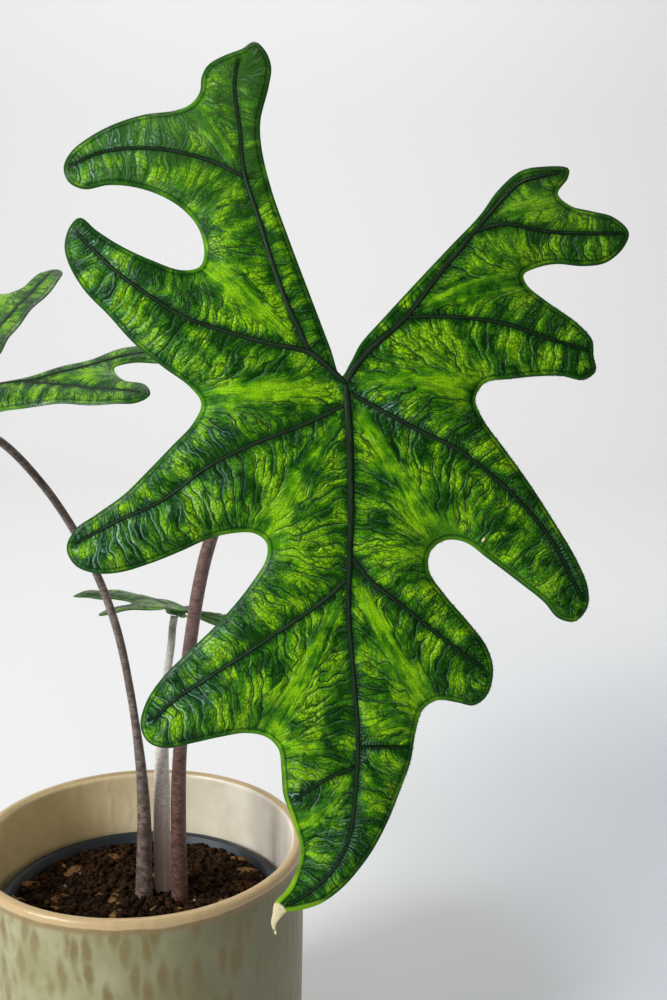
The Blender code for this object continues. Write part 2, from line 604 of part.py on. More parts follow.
def soil(look, bases):
    """The soil, moulded by the nursery pot, with a plain well for each petiole's foot."""
    floor, inner = nursery_profile()
    bottom = floor + NURSERY_WALL + GAP
    edge = inner(SOIL_EDGE) - GAP
    profile = [(0, bottom), (inner(bottom) - GAP, bottom), (edge, SOIL_EDGE)]
    profile += [(edge * k / 9, SOIL_EDGE) for k in range(8, 0, -1)] + [(0, SOIL_EDGE)]
    body = turned("soil", profile, look, soil_lumps)
    well_bottom = SOIL_EDGE + SOIL_MOUND - HOLE_DEPTH - GAP
    cut_wells(body, bases, FOOT_RADIUS + HOLE_CLEARANCE, well_bottom, SOIL_EDGE + 30 * MM)
    return body


# The whole plant

GLAZE = material("sage_glaze", (0.42, 0.43, 0.30), 0.35)
PLASTIC = material("slate_plastic", (0.05, 0.07, 0.09), 0.55)
EARTH = material("bark_soil", (0.035, 0.022, 0.014), 0.95)
STALK_DARK = material("grey_brown_stalk", (0.13, 0.10, 0.09), 0.5)
STALK_RED = material("red_brown_stalk", (0.16, 0.07, 0.06), 0.5)
STALK_PALE = material("pale_stalk", (0.45, 0.38, 0.37), 0.5)
LEAF = material("leaf_green", (0.09, 0.24, 0.03), 0.35)

LEFT_BASE, BACK_BASE, FRONT_BASE = (1.5 * MM, 0), (8.8 * MM, 6.4 * MM), (16.8 * MM, -1 * MM)
FOOT_RADIUS = 3.6 * MM

outer_pot(GLAZE)
nursery_pot(PLASTIC)
soil(EARTH, [LEFT_BASE, BACK_BASE, FRONT_BASE])

petiole("petiole_front", FRONT_BASE,
        [(18.3, -4, 162), (25.1, -13, 220), (34.4, -22, 264), (52, -41, 305), (72, -58, 328)],
        (FRONT_JOINT, FRONT_AXES), (8 * MM, 80 * MM), (FOOT_RADIUS, 2.8 * MM, 2.4 * MM), STALK_RED)
petiole("petiole_left", LEFT_BASE,
        [(2.4, 0.5, 136), (1.5, 1.8, 162), (-2.2, 4, 194.5), (-7.1, 6.5, 220), (-14.9, 9, 243),
         (-24.3, 11, 262), (-37, 13, 281), (-53.2, 14.5, 298)],
        (LEFT_JOINT, LEFT_AXES), (8 * MM, 80 * MM), (FOOT_RADIUS, 1.7 * MM, 1.7 * MM), STALK_DARK)
petiole("petiole_back", BACK_BASE,
        [(9, 8, 140), (9.2, 14, 165), (9.6, 30, 187), (10.2, 48, 200)],
        (BACK_JOINT, BACK_AXES), (45 * MM, 85 * MM), (FOOT_RADIUS, 1.8 * MM, 1.7 * MM), STALK_PALE)

blade_front = blade("blade_front", FRONT_OUTLINE, FRONT_VEINS, front_form, front_place, LEAF)
seat(blade_front, FRONT_JOINT, FRONT_AXES)
blade_left = blade("blade_left", lobed_outline(LEFT_LOBES), LEFT_VEINS, left_form, flat_place, LEAF)
seat(blade_left, LEFT_JOINT, LEFT_AXES)
blade_back = blade("blade_back", lobed_outline(BACK_LOBES), BACK_VEINS, back_form, flat_place, LEAF)
seat(blade_back, BACK_JOINT, BACK_AXES)
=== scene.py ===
# %% [markdown]
# # A potted alocasia, dressed
#
# The plant has three lobed leaves on round stalks, in a plastic nursery pot that stands inside a
# glazed pot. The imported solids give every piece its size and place. This file gives each piece its
# fine surface and its finish, with numpy for the shapes and shader nodes for the colours.

# %% Load the fixed frame
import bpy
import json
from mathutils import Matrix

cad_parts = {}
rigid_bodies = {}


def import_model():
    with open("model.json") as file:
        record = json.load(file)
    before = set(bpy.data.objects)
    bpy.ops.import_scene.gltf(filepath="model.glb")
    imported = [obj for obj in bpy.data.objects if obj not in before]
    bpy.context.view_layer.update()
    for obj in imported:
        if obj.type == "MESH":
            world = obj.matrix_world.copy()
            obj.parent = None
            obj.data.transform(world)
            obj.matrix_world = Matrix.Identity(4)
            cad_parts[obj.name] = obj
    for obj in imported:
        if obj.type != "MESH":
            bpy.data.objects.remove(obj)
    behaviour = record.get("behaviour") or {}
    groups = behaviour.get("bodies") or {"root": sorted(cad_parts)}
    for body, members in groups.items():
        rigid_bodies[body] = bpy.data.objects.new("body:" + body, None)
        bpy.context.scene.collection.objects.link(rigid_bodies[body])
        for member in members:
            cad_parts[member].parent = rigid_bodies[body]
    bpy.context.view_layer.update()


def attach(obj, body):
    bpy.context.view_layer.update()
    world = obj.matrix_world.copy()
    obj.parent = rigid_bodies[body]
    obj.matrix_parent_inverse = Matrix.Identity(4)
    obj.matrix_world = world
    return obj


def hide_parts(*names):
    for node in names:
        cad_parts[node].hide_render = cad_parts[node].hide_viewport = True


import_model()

# %% [markdown]
# ## Units and curves
#
# Leaves are drawn in millimetres in their own plane, and Blender works in metres. The veins, the
# margins and the stalks are all smooth curves through a few chosen points, so the first tools are a
# spline and a way to space its points evenly.

# %% Imports and units
import json
import math
from types import SimpleNamespace

import bpy
import numpy as np
from mathutils import Matrix, Vector

MM = 0.001


# %% A smooth curve through points
def unit(vectors):
    """Each vector divided by its length."""
    return vectors / np.linalg.norm(vectors, axis=-1)[..., None]


def marks_along(curve):
    """How far along a curve each of its points lies."""
    return np.concatenate([[0], np.cumsum(np.linalg.norm(np.diff(curve, axis=0), axis=1))])


def pairs(x, y):
    """Two arrays of coordinates as one list of points."""
    return np.stack([np.ravel(x), np.ravel(y)], axis=1)


def spline(points, closed=False, fine=12):
    """Cubic pieces between the points. The slope at a point comes from its neighbours, weighted
    by the square root of the chord lengths, which keeps tight bends free of loops."""
    points = np.array(points, float)
    if closed:
        chain = np.vstack([points[-1:], points, points[:2]])
    else:
        chain = np.vstack([2 * points[0] - points[1], points, 2 * points[-1] - points[-2]])
    gaps = np.sqrt(np.linalg.norm(np.diff(chain, axis=0), axis=1))[:, None]
    slopes = np.diff(chain, axis=0) / gaps
    across = (chain[2:] - chain[:-2]) / (gaps[1:] + gaps[:-1])
    tangents = slopes[:-1] + slopes[1:] - across
    start, end, length = chain[1:-2], chain[2:-1], gaps[1:-1]
    pull_start, pull_end = tangents[:-1] * length, tangents[1:] * length
    t = (np.arange(fine) / fine)[None, :, None]
    curve = ((2 * t**3 - 3 * t**2 + 1) * start[:, None] + (t**3 - 2 * t**2 + t) * pull_start[:, None]
             + (3 * t**2 - 2 * t**3) * end[:, None] + (t**3 - t**2) * pull_end[:, None])
    curve = curve.reshape(-1, points.shape[1])
    return curve if closed else np.vstack([curve, points[-1:]])


def resample(curve, step, closed=False):
    """The same curve with points one step apart, by interpolation over its length."""
    if closed:
        curve = np.vstack([curve, curve[:1]])
    marks = marks_along(curve)
    wanted = np.linspace(0, marks[-1], max(2, round(marks[-1] / step)) + 1)
    if closed:
        wanted = wanted[:-1]
    return np.stack([np.interp(wanted, marks, column) for column in curve.T], axis=1)


# %% Distance to a curve
def nearest_on(points, line, closed=False, block=3000):
    """Distance from each point to a polyline, how far along the nearest spot lies, and the side
    it lies on (+1 left, -1 right). Each segment's nearest spot is the point's projection on it,
    held between its ends, and the nearest of them all counts. Blocks keep the arrays small."""
    starts = line if closed else line[:-1]
    step = (np.roll(line, -1, axis=0) if closed else line[1:]) - starts
    length = np.linalg.norm(step, axis=1)
    before = np.cumsum(length) - length
    distance, along, side = (np.empty(len(points)) for _ in range(3))
    for first in range(0, len(points), block):
        rows = slice(first, first + block)
        dx = points[rows, :1] - starts[None, :, 0]
        dy = points[rows, 1:] - starts[None, :, 1]
        t = np.clip((dx * step[:, 0] + dy * step[:, 1]) / np.maximum(length**2, 1e-9), 0, 1)
        away = np.hypot(dx - t * step[:, 0], dy - t * step[:, 1])
        best = away.argmin(axis=1)
        row = np.arange(len(best))
        distance[rows] = away[row, best]
        along[rows] = before[best] + t[row, best] * length[best]
        side[rows] = np.sign(step[best, 0] * dy[row, best] - step[best, 1] * dx[row, best])
    return distance, along, side


def inside(points, outline, block=3000):
    """True inside the closed outline: a ray to the right crosses its edges an odd number of times."""
    x0, y0 = outline.T
    x1, y1 = np.roll(outline, -1, axis=0).T
    rise = np.where(y1 == y0, 1.0, y1 - y0)
    within = np.empty(len(points), bool)
    for first in range(0, len(points), block):
        x, y = points[first:first + block, :1], points[first:first + block, 1:]
        crossed = ((y0 > y) != (y1 > y)) & (x < x0 + (y - y0) * (x1 - x0) / rise)
        within[first:first + block] = crossed.sum(axis=1) % 2 == 1
    return within


# %% Smooth noise from a seed
LATTICE = 64


def soft_noise(x, y, scale, seed):
    """Value noise from -1 to 1: random heights on a square lattice of the given spacing, joined
    by the smooth step 3t^2 - 2t^3."""
    lattice = np.random.default_rng(seed).uniform(-1, 1, (LATTICE, LATTICE))
    u, v = np.asarray(x) / scale, np.asarray(y) / scale
    i, j = np.floor(u).astype(int), np.floor(v).astype(int)
    s, t = u - i, v - j
    s, t = s * s * (3 - 2 * s), t * t * (3 - 2 * t)

    def pick(a, b):
        return lattice[(i + a) % LATTICE, (j + b) % LATTICE]
    low = pick(0, 0) * (1 - s) + pick(1, 0) * s
    high = pick(0, 1) * (1 - s) + pick(1, 1) * s
    return low * (1 - t) + high * t


def smooth_step(value, low, high):
    """0 below low, 1 above high, and 3t^2 - 2t^3 between."""
    t = np.clip((value - low) / (high - low), 0, 1)
    return t * t * (3 - 2 * t)


# %% [markdown]
# ## Meshes from whole arrays
#
# Every piece below is a surface worked out with numpy, so one helper turns arrays into a mesh. It
# takes faces in groups that have the same number of corners, which lets squares, triangles and
# five-sided cells live in one mesh. Values that a material reads travel with the mesh as attributes
# (one number a point) or as UV maps (two numbers a corner).

# %% Arrays to a mesh
def mesh_piece(name, points, groups, look, numbers=(), maps=()):
    """A smooth shaded object at the origin: points in metres, and faces as arrays of corners."""
    corners = np.concatenate([np.asarray(group, int).ravel() for group in groups])
    sizes = np.concatenate([np.full(len(group), np.shape(group)[1]) for group in groups])
    mesh = bpy.data.meshes.new(name)
    mesh.vertices.add(len(points))
    mesh.vertices.foreach_set("co", np.asarray(points, np.float32).ravel())
    mesh.loops.add(len(corners))
    mesh.loops.foreach_set("vertex_index", corners.astype(np.int32))
    mesh.polygons.add(len(sizes))
    mesh.polygons.foreach_set("loop_start", (np.cumsum(sizes) - sizes).astype(np.int32))
    mesh.update(calc_edges=True)
    mesh.shade_smooth()
    for label, values in dict(maps).items():
        layer = mesh.uv_layers.new(name=label)
        layer.data.foreach_set("uv", np.asarray(values, np.float32)[corners].ravel())
    for label, values in dict(numbers).items():
        layer = mesh.attributes.new(label, "FLOAT", "POINT")
        layer.data.foreach_set("value", np.asarray(values, np.float32))
    mesh.materials.append(look)
    piece = bpy.data.objects.new(name, mesh)
    bpy.context.scene.collection.objects.link(piece)
    print(name, len(points), "points", len(sizes), "faces")
    return piece


# %% [markdown]
# ## How a leaf is laid out
#
# An alocasia blade is a thin sheet with a few thick veins. Finer veins leave them squarely, sweep
# across the blade and crowd together at the bottom of each bay. Lines of heat flow do the same: hold
# the thick veins at 0 and the margin at 1, let the values in between even out, and follow the
# slope. So the blade gets a grid, an even field on it, and flow lines traced down to the vein. A
# point's place along the veins (across the flow) and its distance up its flow line are then two
# coordinates that every fine pattern on the leaf can follow.

# %% Reading a grid between its points
COARSE = 4                     # distances are measured at every fourth grid point first


def sample(field, i, j):
    """Bilinear reading of a grid at fractional row i and column j."""
    i = np.clip(i, 0, field.shape[0] - 1.001)
    j = np.clip(j, 0, field.shape[1] - 1.001)
    a, b = i.astype(int), j.astype(int)
    s, t = i - a, j - b
    return ((1 - s) * ((1 - t) * field[a, b] + t * field[a, b + 1])
            + s * ((1 - t) * field[a + 1, b] + t * field[a + 1, b + 1]))


def measured(x, y, curves, reach, closed=False):
    """Distance from every grid point to the nearest curve. Every fourth point is measured and the
    rest read between them, then the points within reach are measured themselves."""
    def exact(points):
        return np.min([nearest_on(points, curve, closed)[0] for curve in curves], axis=0)
    coarse_x, coarse_y = x[::COARSE, ::COARSE], y[::COARSE, ::COARSE]
    coarse = exact(pairs(coarse_x, coarse_y)).reshape(coarse_x.shape)
    field = sample(coarse, *np.indices(x.shape) / COARSE)
    near = field < reach
    field[near] = exact(pairs(x[near], y[near]))
    return field


def smoothed(field, passes):
    """The field after some passes of the 1-2-1 filter along both directions."""
    for _ in range(passes):
        for axis in (0, 1):
            wide = np.pad(field, [(1, 1) if k == axis else (0, 0) for k in (0, 1)], mode="edge")
            low, high = (wide[:-2], wide[2:]) if axis == 0 else (wide[:, :-2], wide[:, 2:])
            field = 0.5 * field + 0.25 * (low + high)
    return field


def even_field(to_vein, to_margin, step, rounds=90):
    """0 on the veins, 1 from the margin outward, and between them each value is the mean of its
    four neighbours (Laplace's equation). It is solved on a coarse grid first, then on finer ones."""
    value = None
    for skip in (8, 4, 2, 1):
        vein = to_vein[::skip, ::skip] < 0.75 * step * skip
        outside = to_margin[::skip, ::skip] <= 0
        if value is None:
            value = np.full(vein.shape, 0.5)
        else:
            value = sample(value, *np.indices(vein.shape) / 2)
        for _ in range(rounds):
            value[outside], value[vein] = 1, 0
            wide = np.pad(value, 1, mode="edge")
            value = (wide[:-2, 1:-1] + wide[2:, 1:-1] + wide[1:-1, :-2] + wide[1:-1, 2:]) / 4
        value[outside], value[vein] = 1, 0
    return value


# %% Walking round the veins
WALK_OFFSET = 0.5              # how far beside a vein's middle the walk runs


def vein_walk(veins, roots):
    """One line that goes out along one side of each vein and back along the other, and round the
    side veins on the way. Its length up to a point is that point's place on the vein network, and
    it changes evenly all the way across each bay."""
    def walk(number):
        line = veins[number]["line"]
        heading = unit(np.gradient(line, axis=0))
        shift = WALK_OFFSET * np.stack([-heading[:, 1], heading[:, 0]], axis=1)
        stops = []
        for other, branch in enumerate(veins):
            if branch["parent"] == number:
                spot = int(np.linalg.norm(line - branch["line"][0], axis=1).argmin())
                side = nearest_on(branch["line"][3:4], line)[2][0]
                stops.append((spot if side > 0 else 2 * len(line) - 1 - spot, other))
        both = np.vstack([line + shift, (line - shift)[::-1]])
        parts, done = [], 0
        for spot, other in sorted(stops):
            parts += [both[done:spot + 1], walk(other)]
            done = spot + 1
        return np.vstack([*parts, both[done:]])
    return np.vstack([walk(number) for number in roots])


# %% Flow lines from every point down to its vein
FLOW_PACE = 0.5                # how far a flow line is followed at a time
FLOW_END = 2.0                 # how near its vein it stops
FLOW_ROUNDS = 160              # the most steps it takes
CROWD_LIMITS = (0.07, 6)       # the least and the most times closer than at the vein


def flow_lines(x, y, field, to_vein, to_margin, walk, step):
    """Follow the even field's slope from each grid point to a vein, half a millimetre at a time.
    Gives the place on the vein walk where the line ends, the line's length, and how much closer
    the lines lie here than at the vein, which is the slope here over the slope there."""
    slope_x, slope_y = np.gradient(smoothed(field, 2), step)
    steepness = np.hypot(slope_x, slope_y)
    inward = np.stack(np.gradient(to_margin, step), axis=-1).reshape(-1, 2)
    beside = np.zeros(x.shape)
    near = to_vein < FLOW_END + 2 * step
    beside[near] = nearest_on(pairs(x[near], y[near]), walk)[1]
    low = np.array([x[0, 0], y[0, 0]])
    pushed = np.maximum(0.8 * step - to_margin, 0).ravel()
    place = pairs(x, y) + pushed[:, None] * inward
    used = to_margin.ravel() > -2.5 * step
    moving = used & (to_vein.ravel() > FLOW_END)
    length = np.where(moving, pushed, 0)
    begin = ((place - low) / step).T
    for _ in range(FLOW_ROUNDS):
        rows = np.flatnonzero(moving)
        if not len(rows):
            break
        i, j = (place[rows] - low).T / step
        down = -np.stack([sample(slope_x, i, j), sample(slope_y, i, j)], axis=1)
        down /= np.maximum(np.linalg.norm(down, axis=1), 1e-6)[:, None]
        place[rows] += FLOW_PACE * down
        length[rows] += FLOW_PACE
        i, j = (place[rows] - low).T / step
        moving[rows] = sample(to_vein, i, j) > FLOW_END
    i, j = ((place - low) / step).T
    root = np.where(used, sample(beside, i, j), 0)
    length = np.where(used, length + sample(to_vein, i, j), 0)
    crowd = np.where(used, sample(steepness, *begin) / np.maximum(sample(steepness, i, j), 1e-4), 1)
    crowd = smoothed(np.clip(crowd, *CROWD_LIMITS).reshape(x.shape), 3)
    return root.reshape(x.shape), length.reshape(x.shape), crowd


# %% [markdown]
# ## Cutting the sheet out of the grid
#
# A grid has square cells and a leaf has a curved margin. Cells that the margin crosses keep only
# their inner part, and there are sixteen ways in which a cell's corners can lie in or out. The new
# points on the margin are then set exactly on the drawn outline, so the edge is smooth. The sheet
# gets an upper and a lower skin, and a rounded rim of three rows closes them into one thin body.

# %% Cells along the margin
CELL_CASES = {
    1: [[0, 4, 7]], 2: [[1, 5, 4]], 3: [[0, 1, 5, 7]], 4: [[2, 6, 5]], 5: [[0, 4, 7], [2, 6, 5]],
    6: [[1, 2, 6, 4]], 7: [[0, 1, 2, 6, 7]], 8: [[3, 7, 6]], 9: [[3, 0, 4, 6]],
    10: [[1, 5, 4], [3, 7, 6]], 11: [[3, 0, 1, 5, 6]], 12: [[2, 3, 7, 5]], 13: [[2, 3, 0, 4, 5]],
    14: [[1, 2, 3, 7, 4]], 15: [[0, 1, 2, 3]]}


def cut_sheet(x, y, to_margin, step, outline):
    """The plan of a sheet: its points, which of them lie on the margin, its faces grouped by their
    number of corners, and the pieces of margin. In a cell, 0 to 3 are its corners and 4 to 7 the
    points where the margin crosses its sides, both anticlockwise. The last two corners of every cut
    face lie on the margin."""
    held = np.where(to_margin > 0, 1, -1) * np.maximum(np.abs(to_margin), 0.15 * step)
    within = held > 0
    number = np.full(x.shape, -1)
    number[within] = np.arange(within.sum())
    points = [pairs(x[within], y[within])]
    used = within.sum()
    crossings = []
    for di, dj in ((1, 0), (0, 1)):
        first = held[:x.shape[0] - di, :x.shape[1] - dj]
        second = held[di:, dj:]
        crossed = (first > 0) != (second > 0)
        i, j = np.nonzero(crossed)
        t = (first / (first - second + ~crossed))[crossed][:, None]
        start, end = pairs(x[i, j], y[i, j]), pairs(x[i + di, j + dj], y[i + di, j + dj])
        points.append(start + t * (end - start))
        ids = np.full(first.shape, -1)
        ids[crossed] = used + np.arange(len(i))
        used += len(i)
        crossings.append(ids)
    across, up = crossings
    corner = [number[:-1, :-1], number[1:, :-1], number[1:, 1:], number[:-1, 1:]]
    local = np.stack([*corner, across[:, :-1], up[1:], across[:, 1:], up[:-1]], axis=-1)
    flags = sum((c >= 0) * (1 << k) for k, c in enumerate(corner))
    groups, rim = {3: [], 4: [], 5: []}, []
    for case, polygons in CELL_CASES.items():
        cells = local[flags == case]
        for polygon in polygons:
            groups[len(polygon)].append(cells[:, polygon])
            if case < 15:
                rim.append(cells[:, polygon[-2:]])
    points = np.vstack(points)
    on_margin = np.arange(len(points)) >= within.sum()
    ring = np.vstack([outline, outline[:1]])
    marks = marks_along(ring)
    along = nearest_on(points[on_margin], outline, closed=True)[1]
    points[on_margin] = np.stack([np.interp(along, marks, column) for column in ring.T], axis=1)
    return points, on_margin, [np.vstack(group) for group in groups.values()], np.vstack(rim)


# %% [markdown]
# ## The quilted form
#
# Between its thick veins a blade puffs up like a cushion: it leaves the vein at a slope, crowns half
# way and rolls back down at the margin. The margin itself waves gently, and each finer vein draws a
# shallow valley across the puff. The large form of each leaf, its arch and the lean of its lobes,
# is added to that as a simple function of the place on the leaf.

# %% Measures that all three leaves share
SKIN_THICKNESS = 0.7
PUFF_SLOPE = 0.30              # how steeply a panel rises from its vein
PUFF_ROLL = 0.45               # how strongly it rolls back to its margin
PUFF_LIMIT = 22.0              # width past which a panel puffs up no further
MARGIN_WAVE = 0.6
MARGIN_WAVE_LENGTH = 24.0
MARGIN_WAVE_REACH = 6.0
JOINT_CALM = 14.0              # round the stalk's joint the blade stays flat
KNUCKLE_RADIUS = 3.0           # the thick spot on the underside where the stalk joins
KNUCKLE_FADE = 2.6
KNUCKLE_DEPTH = 2.5
OUTLINE_STEP = 0.8
MARGIN_BAND = 3.5              # how near a margin or a vein the grid's distances are exact
VEIN_BAND = 4.5
VEIN_STEP = 2.0
SECONDARY_PITCH = 4.0          # the finer veins' spacing along a thick one
VALLEY = 0.20                  # a valley's depth for each millimetre between two of them


def vein(points, kind, parent=None):
    """A thick vein: its centre line, its half width and its depth below the blade from its start
    to its end, and the number of the vein that it leaves."""
    half_width, depth = kind
    line = resample(spline(points), VEIN_STEP)
    return {"line": line, "half_width": half_width, "depth": depth, "parent": parent}


# %% Distances and waves over the plan
def margin_distance(x, y, outline):
    """Distance to the margin, negative outside it. Which side a point lies on is asked on the
    coarse grid first, and then again for the points near the margin."""
    coarse_x, coarse_y = x[::COARSE, ::COARSE], y[::COARSE, ::COARSE]
    blocks = inside(pairs(coarse_x, coarse_y), outline).astype(float).reshape(coarse_x.shape)
    within = sample(blocks, *np.indices(x.shape) / COARSE) > 0.5
    distance = measured(x, y, [outline], MARGIN_BAND, closed=True)
    near = distance < MARGIN_BAND
    within[near] = inside(pairs(x[near], y[near]), outline)
    return np.where(within, distance, -distance)


def margin_wave(x, y, outline):
    """The margin's gentle wave: a sine of the way along it, times exp(-distance / reach)."""
    coarse_x, coarse_y = x[::COARSE, ::COARSE], y[::COARSE, ::COARSE]
    away, along, _ = nearest_on(pairs(coarse_x, coarse_y), outline, closed=True)
    wave = MARGIN_WAVE * np.sin(math.tau * along / MARGIN_WAVE_LENGTH)
    wave = (wave * np.exp(-away / MARGIN_WAVE_REACH)).reshape(coarse_x.shape)
    return sample(wave, *np.indices(x.shape) / COARSE)


def puff(to_vein, edge):
    """A panel's cushion: limit * tanh(width / limit) * (slope * u - roll * u^3), where the width
    goes from vein to margin and u is the share of it that lies behind the point."""
    width = to_vein + edge
    u = to_vein / np.maximum(width, 1e-6)
    return PUFF_LIMIT * np.tanh(width / PUFF_LIMIT) * (PUFF_SLOPE * u - PUFF_ROLL * u**3)


# %% The finer veins' places and valleys
def vein_phase(x, y, root, crowd, to_vein, step, seed):
    """The number of finer veins from the walk's start to each point, bent and spaced a little
    unevenly, and how close those veins lie there, from the phase's own slope."""
    bend = 1.9 * soft_noise(x, y, 10, seed) + 0.5 * soft_noise(x, y, 5, seed + 1)
    bend = bend * np.minimum(crowd, 1)
    uneven = 1.1 * soft_noise(root, 0 * root, 7, seed + 2)
    phase = (root + uneven + bend * smooth_step(to_vein, 0, 5)) / SECONDARY_PITCH
    pressed = SECONDARY_PITCH * np.hypot(*np.gradient(phase, step))
    pressed = np.where(to_vein > 2.5, np.clip(pressed, 0.3 * crowd, 3 * crowd), crowd)
    return phase, smoothed(pressed, 4)


def valleys(phase, crowd, to_vein, edge):
    """A shallow valley along each finer vein and a ridge between: depth * spacing *
    (|sin(pi * phase)|^0.8 - 0.6), fading at the thick veins and at the margin."""
    ridge = np.abs(np.sin(math.pi * phase))**0.8
    reach = smooth_step(to_vein, 0.6, 3) * smooth_step(edge, 0.5, 3.5)
    return VALLEY * np.clip(SECONDARY_PITCH / crowd, 1.2, 5) * (ridge - 0.6) * reach


# %% All the grids of a leaf
def leaf_layout(outline, veins, roots, form, place, step, seed):
    """Everything that the pieces of one leaf are read from, as grids over the leaf's plan."""
    outline = resample(spline(outline, closed=True), OUTLINE_STEP, closed=True)
    low, high = outline.min(axis=0) - 3 * step, outline.max(axis=0) + 3 * step
    x, y = np.meshgrid(np.arange(low[0], high[0], step), np.arange(low[1], high[1], step),
                       indexing="ij")
    to_margin = margin_distance(x, y, outline)
    to_vein = measured(x, y, [branch["line"] for branch in veins], VEIN_BAND)
    field = even_field(to_vein, to_margin, step)
    walk = vein_walk(veins, roots)
    root, length, crowd = flow_lines(x, y, field, to_vein, to_margin, walk, step)
    phase, crowd = vein_phase(x, y, root, crowd, to_vein, step, seed)

    edge = np.maximum(to_margin, 0)
    calm = np.clip(np.hypot(x, y) / JOINT_CALM - 0.4, 0, 1)
    quilt = smoothed((puff(to_vein, edge) + margin_wave(x, y, outline)) * calm, 7)
    fine = smoothed(valleys(phase, crowd, to_vein, edge) * calm, 1)
    height = form(x, y) + quilt + fine
    middle = place(x.ravel(), y.ravel(), height.ravel()).reshape(*x.shape, 3)
    normal = unit(np.cross(np.gradient(middle, axis=0), np.gradient(middle, axis=1)))
    print("grid of", x.shape, "points, margin", len(outline), "points, thick veins", len(veins))
    return {"outline": outline, "veins": veins, "low": low, "step": step, "x": x, "y": y,
            "to_margin": to_margin, "to_vein": to_vein, "phase": phase, "length": length,
            "crowd": crowd, "middle": middle, "normal": normal}


def read(layout, label, points):
    """A grid of the layout, read at points of the plan."""
    i, j = ((points - layout["low"]) / layout["step"]).T
    grid = layout[label]
    if grid.ndim == 2:
        return sample(grid, i, j)
    return np.stack([sample(grid[..., k], i, j) for k in range(grid.shape[2])], axis=1)


# %% Where the underside stands out
def taper(line, along, start_end):
    """The value that changes evenly from a line's start to its end."""
    start, end = start_end
    return start + (end - start) * along / marks_along(line)[-1]


def underside_depth(points, veins):
    """Rounded ribs under the thick veins, depth times 1 - (distance / half width)^2 to the power
    1.3, and the knuckle where the stalk joins."""
    reach = np.hypot(*points.T)
    depth = KNUCKLE_DEPTH * (1 - smooth_step(reach, KNUCKLE_RADIUS, KNUCKLE_RADIUS + KNUCKLE_FADE))
    for branch in veins:
        away, along, _ = nearest_on(points, branch["line"])
        half = 1.15 * taper(branch["line"], along, branch["half_width"])
        rib = np.clip(1 - (away / half)**2, 0, 1)**1.3
        depth = np.maximum(depth, taper(branch["line"], along, branch["depth"]) * rib)
    return depth


# %% Soft bright spots
def glow(points, spots):
    """The sum of soft oval spots: strength * exp(-(along / length)^2 - (across / width)^2)."""
    total = np.zeros(len(points))
    for middle, length, width, turn, strength in spots:
        angle = math.radians(turn)
        dx, dy = (points - middle).T
        along = (dx * math.cos(angle) + dy * math.sin(angle)) / length
        across = (dy * math.cos(angle) - dx * math.sin(angle)) / width
        total += strength * np.exp(-along**2 - across**2)
    return total


# %% The sheet's rim and faces
def outward(outline, points):
    """The direction out of the leaf, square to the margin, at points on the margin."""
    ahead = np.roll(outline, -1, axis=0) - outline
    _, along, _ = nearest_on(points, outline, closed=True)
    spot = np.clip((along / OUTLINE_STEP).astype(int), 0, len(outline) - 1)
    return unit(np.stack([ahead[spot, 1], -ahead[spot, 0], np.zeros(len(spot))], axis=1))


def sheet_faces(faces, rim, on_margin):
    """The upper skin's faces, the same faces turned over for the lower skin, and two rows of
    squares along the margin that join both skins to the rim's middle row."""
    count = len(on_margin)
    row = np.full(count, -1)
    row[on_margin] = 2 * count + np.arange(on_margin.sum())
    a, b = rim.T
    return [*faces, *[group[:, ::-1] + count for group in faces],
            np.stack([b, a, row[a], row[b]], axis=1),
            np.stack([row[b], row[a], a + count, b + count], axis=1)]


# %% The blade as one closed sheet
RIM_BULGE = 0.16
RIB_REACH = 3.5                # how far from a thick vein's middle its underside may stand out
THIN_EDGE = 0.55               # the sheet's thickness at its margin, as a share of the rest


def blade(name, layout, turn, look, **spots):
    """Upper and lower skins on the same plan, the upper half a thickness above the middle surface
    and the lower half a thickness and the ribs below it, joined by a rim that bulges outward.
    Each list of spots becomes an attribute of that name."""
    outline = layout["outline"]
    plan, on_margin, faces, rim = cut_sheet(
        layout["x"], layout["y"], layout["to_margin"], layout["step"], outline)
    count, margin = len(plan), np.flatnonzero(on_margin)
    middle, normal, to_vein, to_margin, crowd, phase, length = (
        read(layout, label, plan) for label in (
            "middle", "normal", "to_vein", "to_margin", "crowd", "phase", "length"))
    to_margin = np.where(on_margin, 0, np.maximum(to_margin, 0))
    half = SKIN_THICKNESS / 2 * (THIN_EDGE + (1 - THIN_EDGE) * smooth_step(to_margin, 0, 1.5))
    upper = middle + normal * half[:, None]
    near = to_vein < RIB_REACH
    depth = np.zeros(len(plan))
    depth[near] = underside_depth(plan[near], layout["veins"])
    lower = middle - normal * (half + depth)[:, None]
    bulge = (upper[margin] + lower[margin]) / 2 + RIM_BULGE * outward(outline, plan[margin])

    everywhere = np.concatenate([np.arange(count), np.arange(count), margin])
    numbers = {label: values[everywhere] for label, values in (
        ("to_vein", to_vein), ("to_margin", to_margin), ("crowd", crowd))}
    numbers["under"] = np.repeat([0, 1, 0.5], [count, count, len(margin)])
    for label, some in spots.items():
        numbers[label] = glow(plan[everywhere], some)
    maps = {"leaf": plan[everywhere], "flow": np.stack([phase, length], axis=1)[everywhere]}
    points = turn(np.vstack([upper, lower, bulge]))
    return mesh_piece(name, points, sheet_faces(faces, rim, on_margin), look, numbers, maps)


# %% A leaf's place on the plant
def leaf_axes(backward, upward):
    """A leaf's own X, Y and Z in the plant's frame. Its Y runs to the posterior lobes and its Z out
    of its face."""
    y = Vector(backward).normalized()
    x = y.cross(Vector(upward)).normalized()
    return np.array(Matrix((x, y, x.cross(y))))


def leaf_turn(joint, backward, upward):
    """The step from a leaf's own millimetres to the plant's metres."""
    axes = leaf_axes(backward, upward)
    return lambda points: np.array(joint) + MM * (np.asarray(points) @ axes)


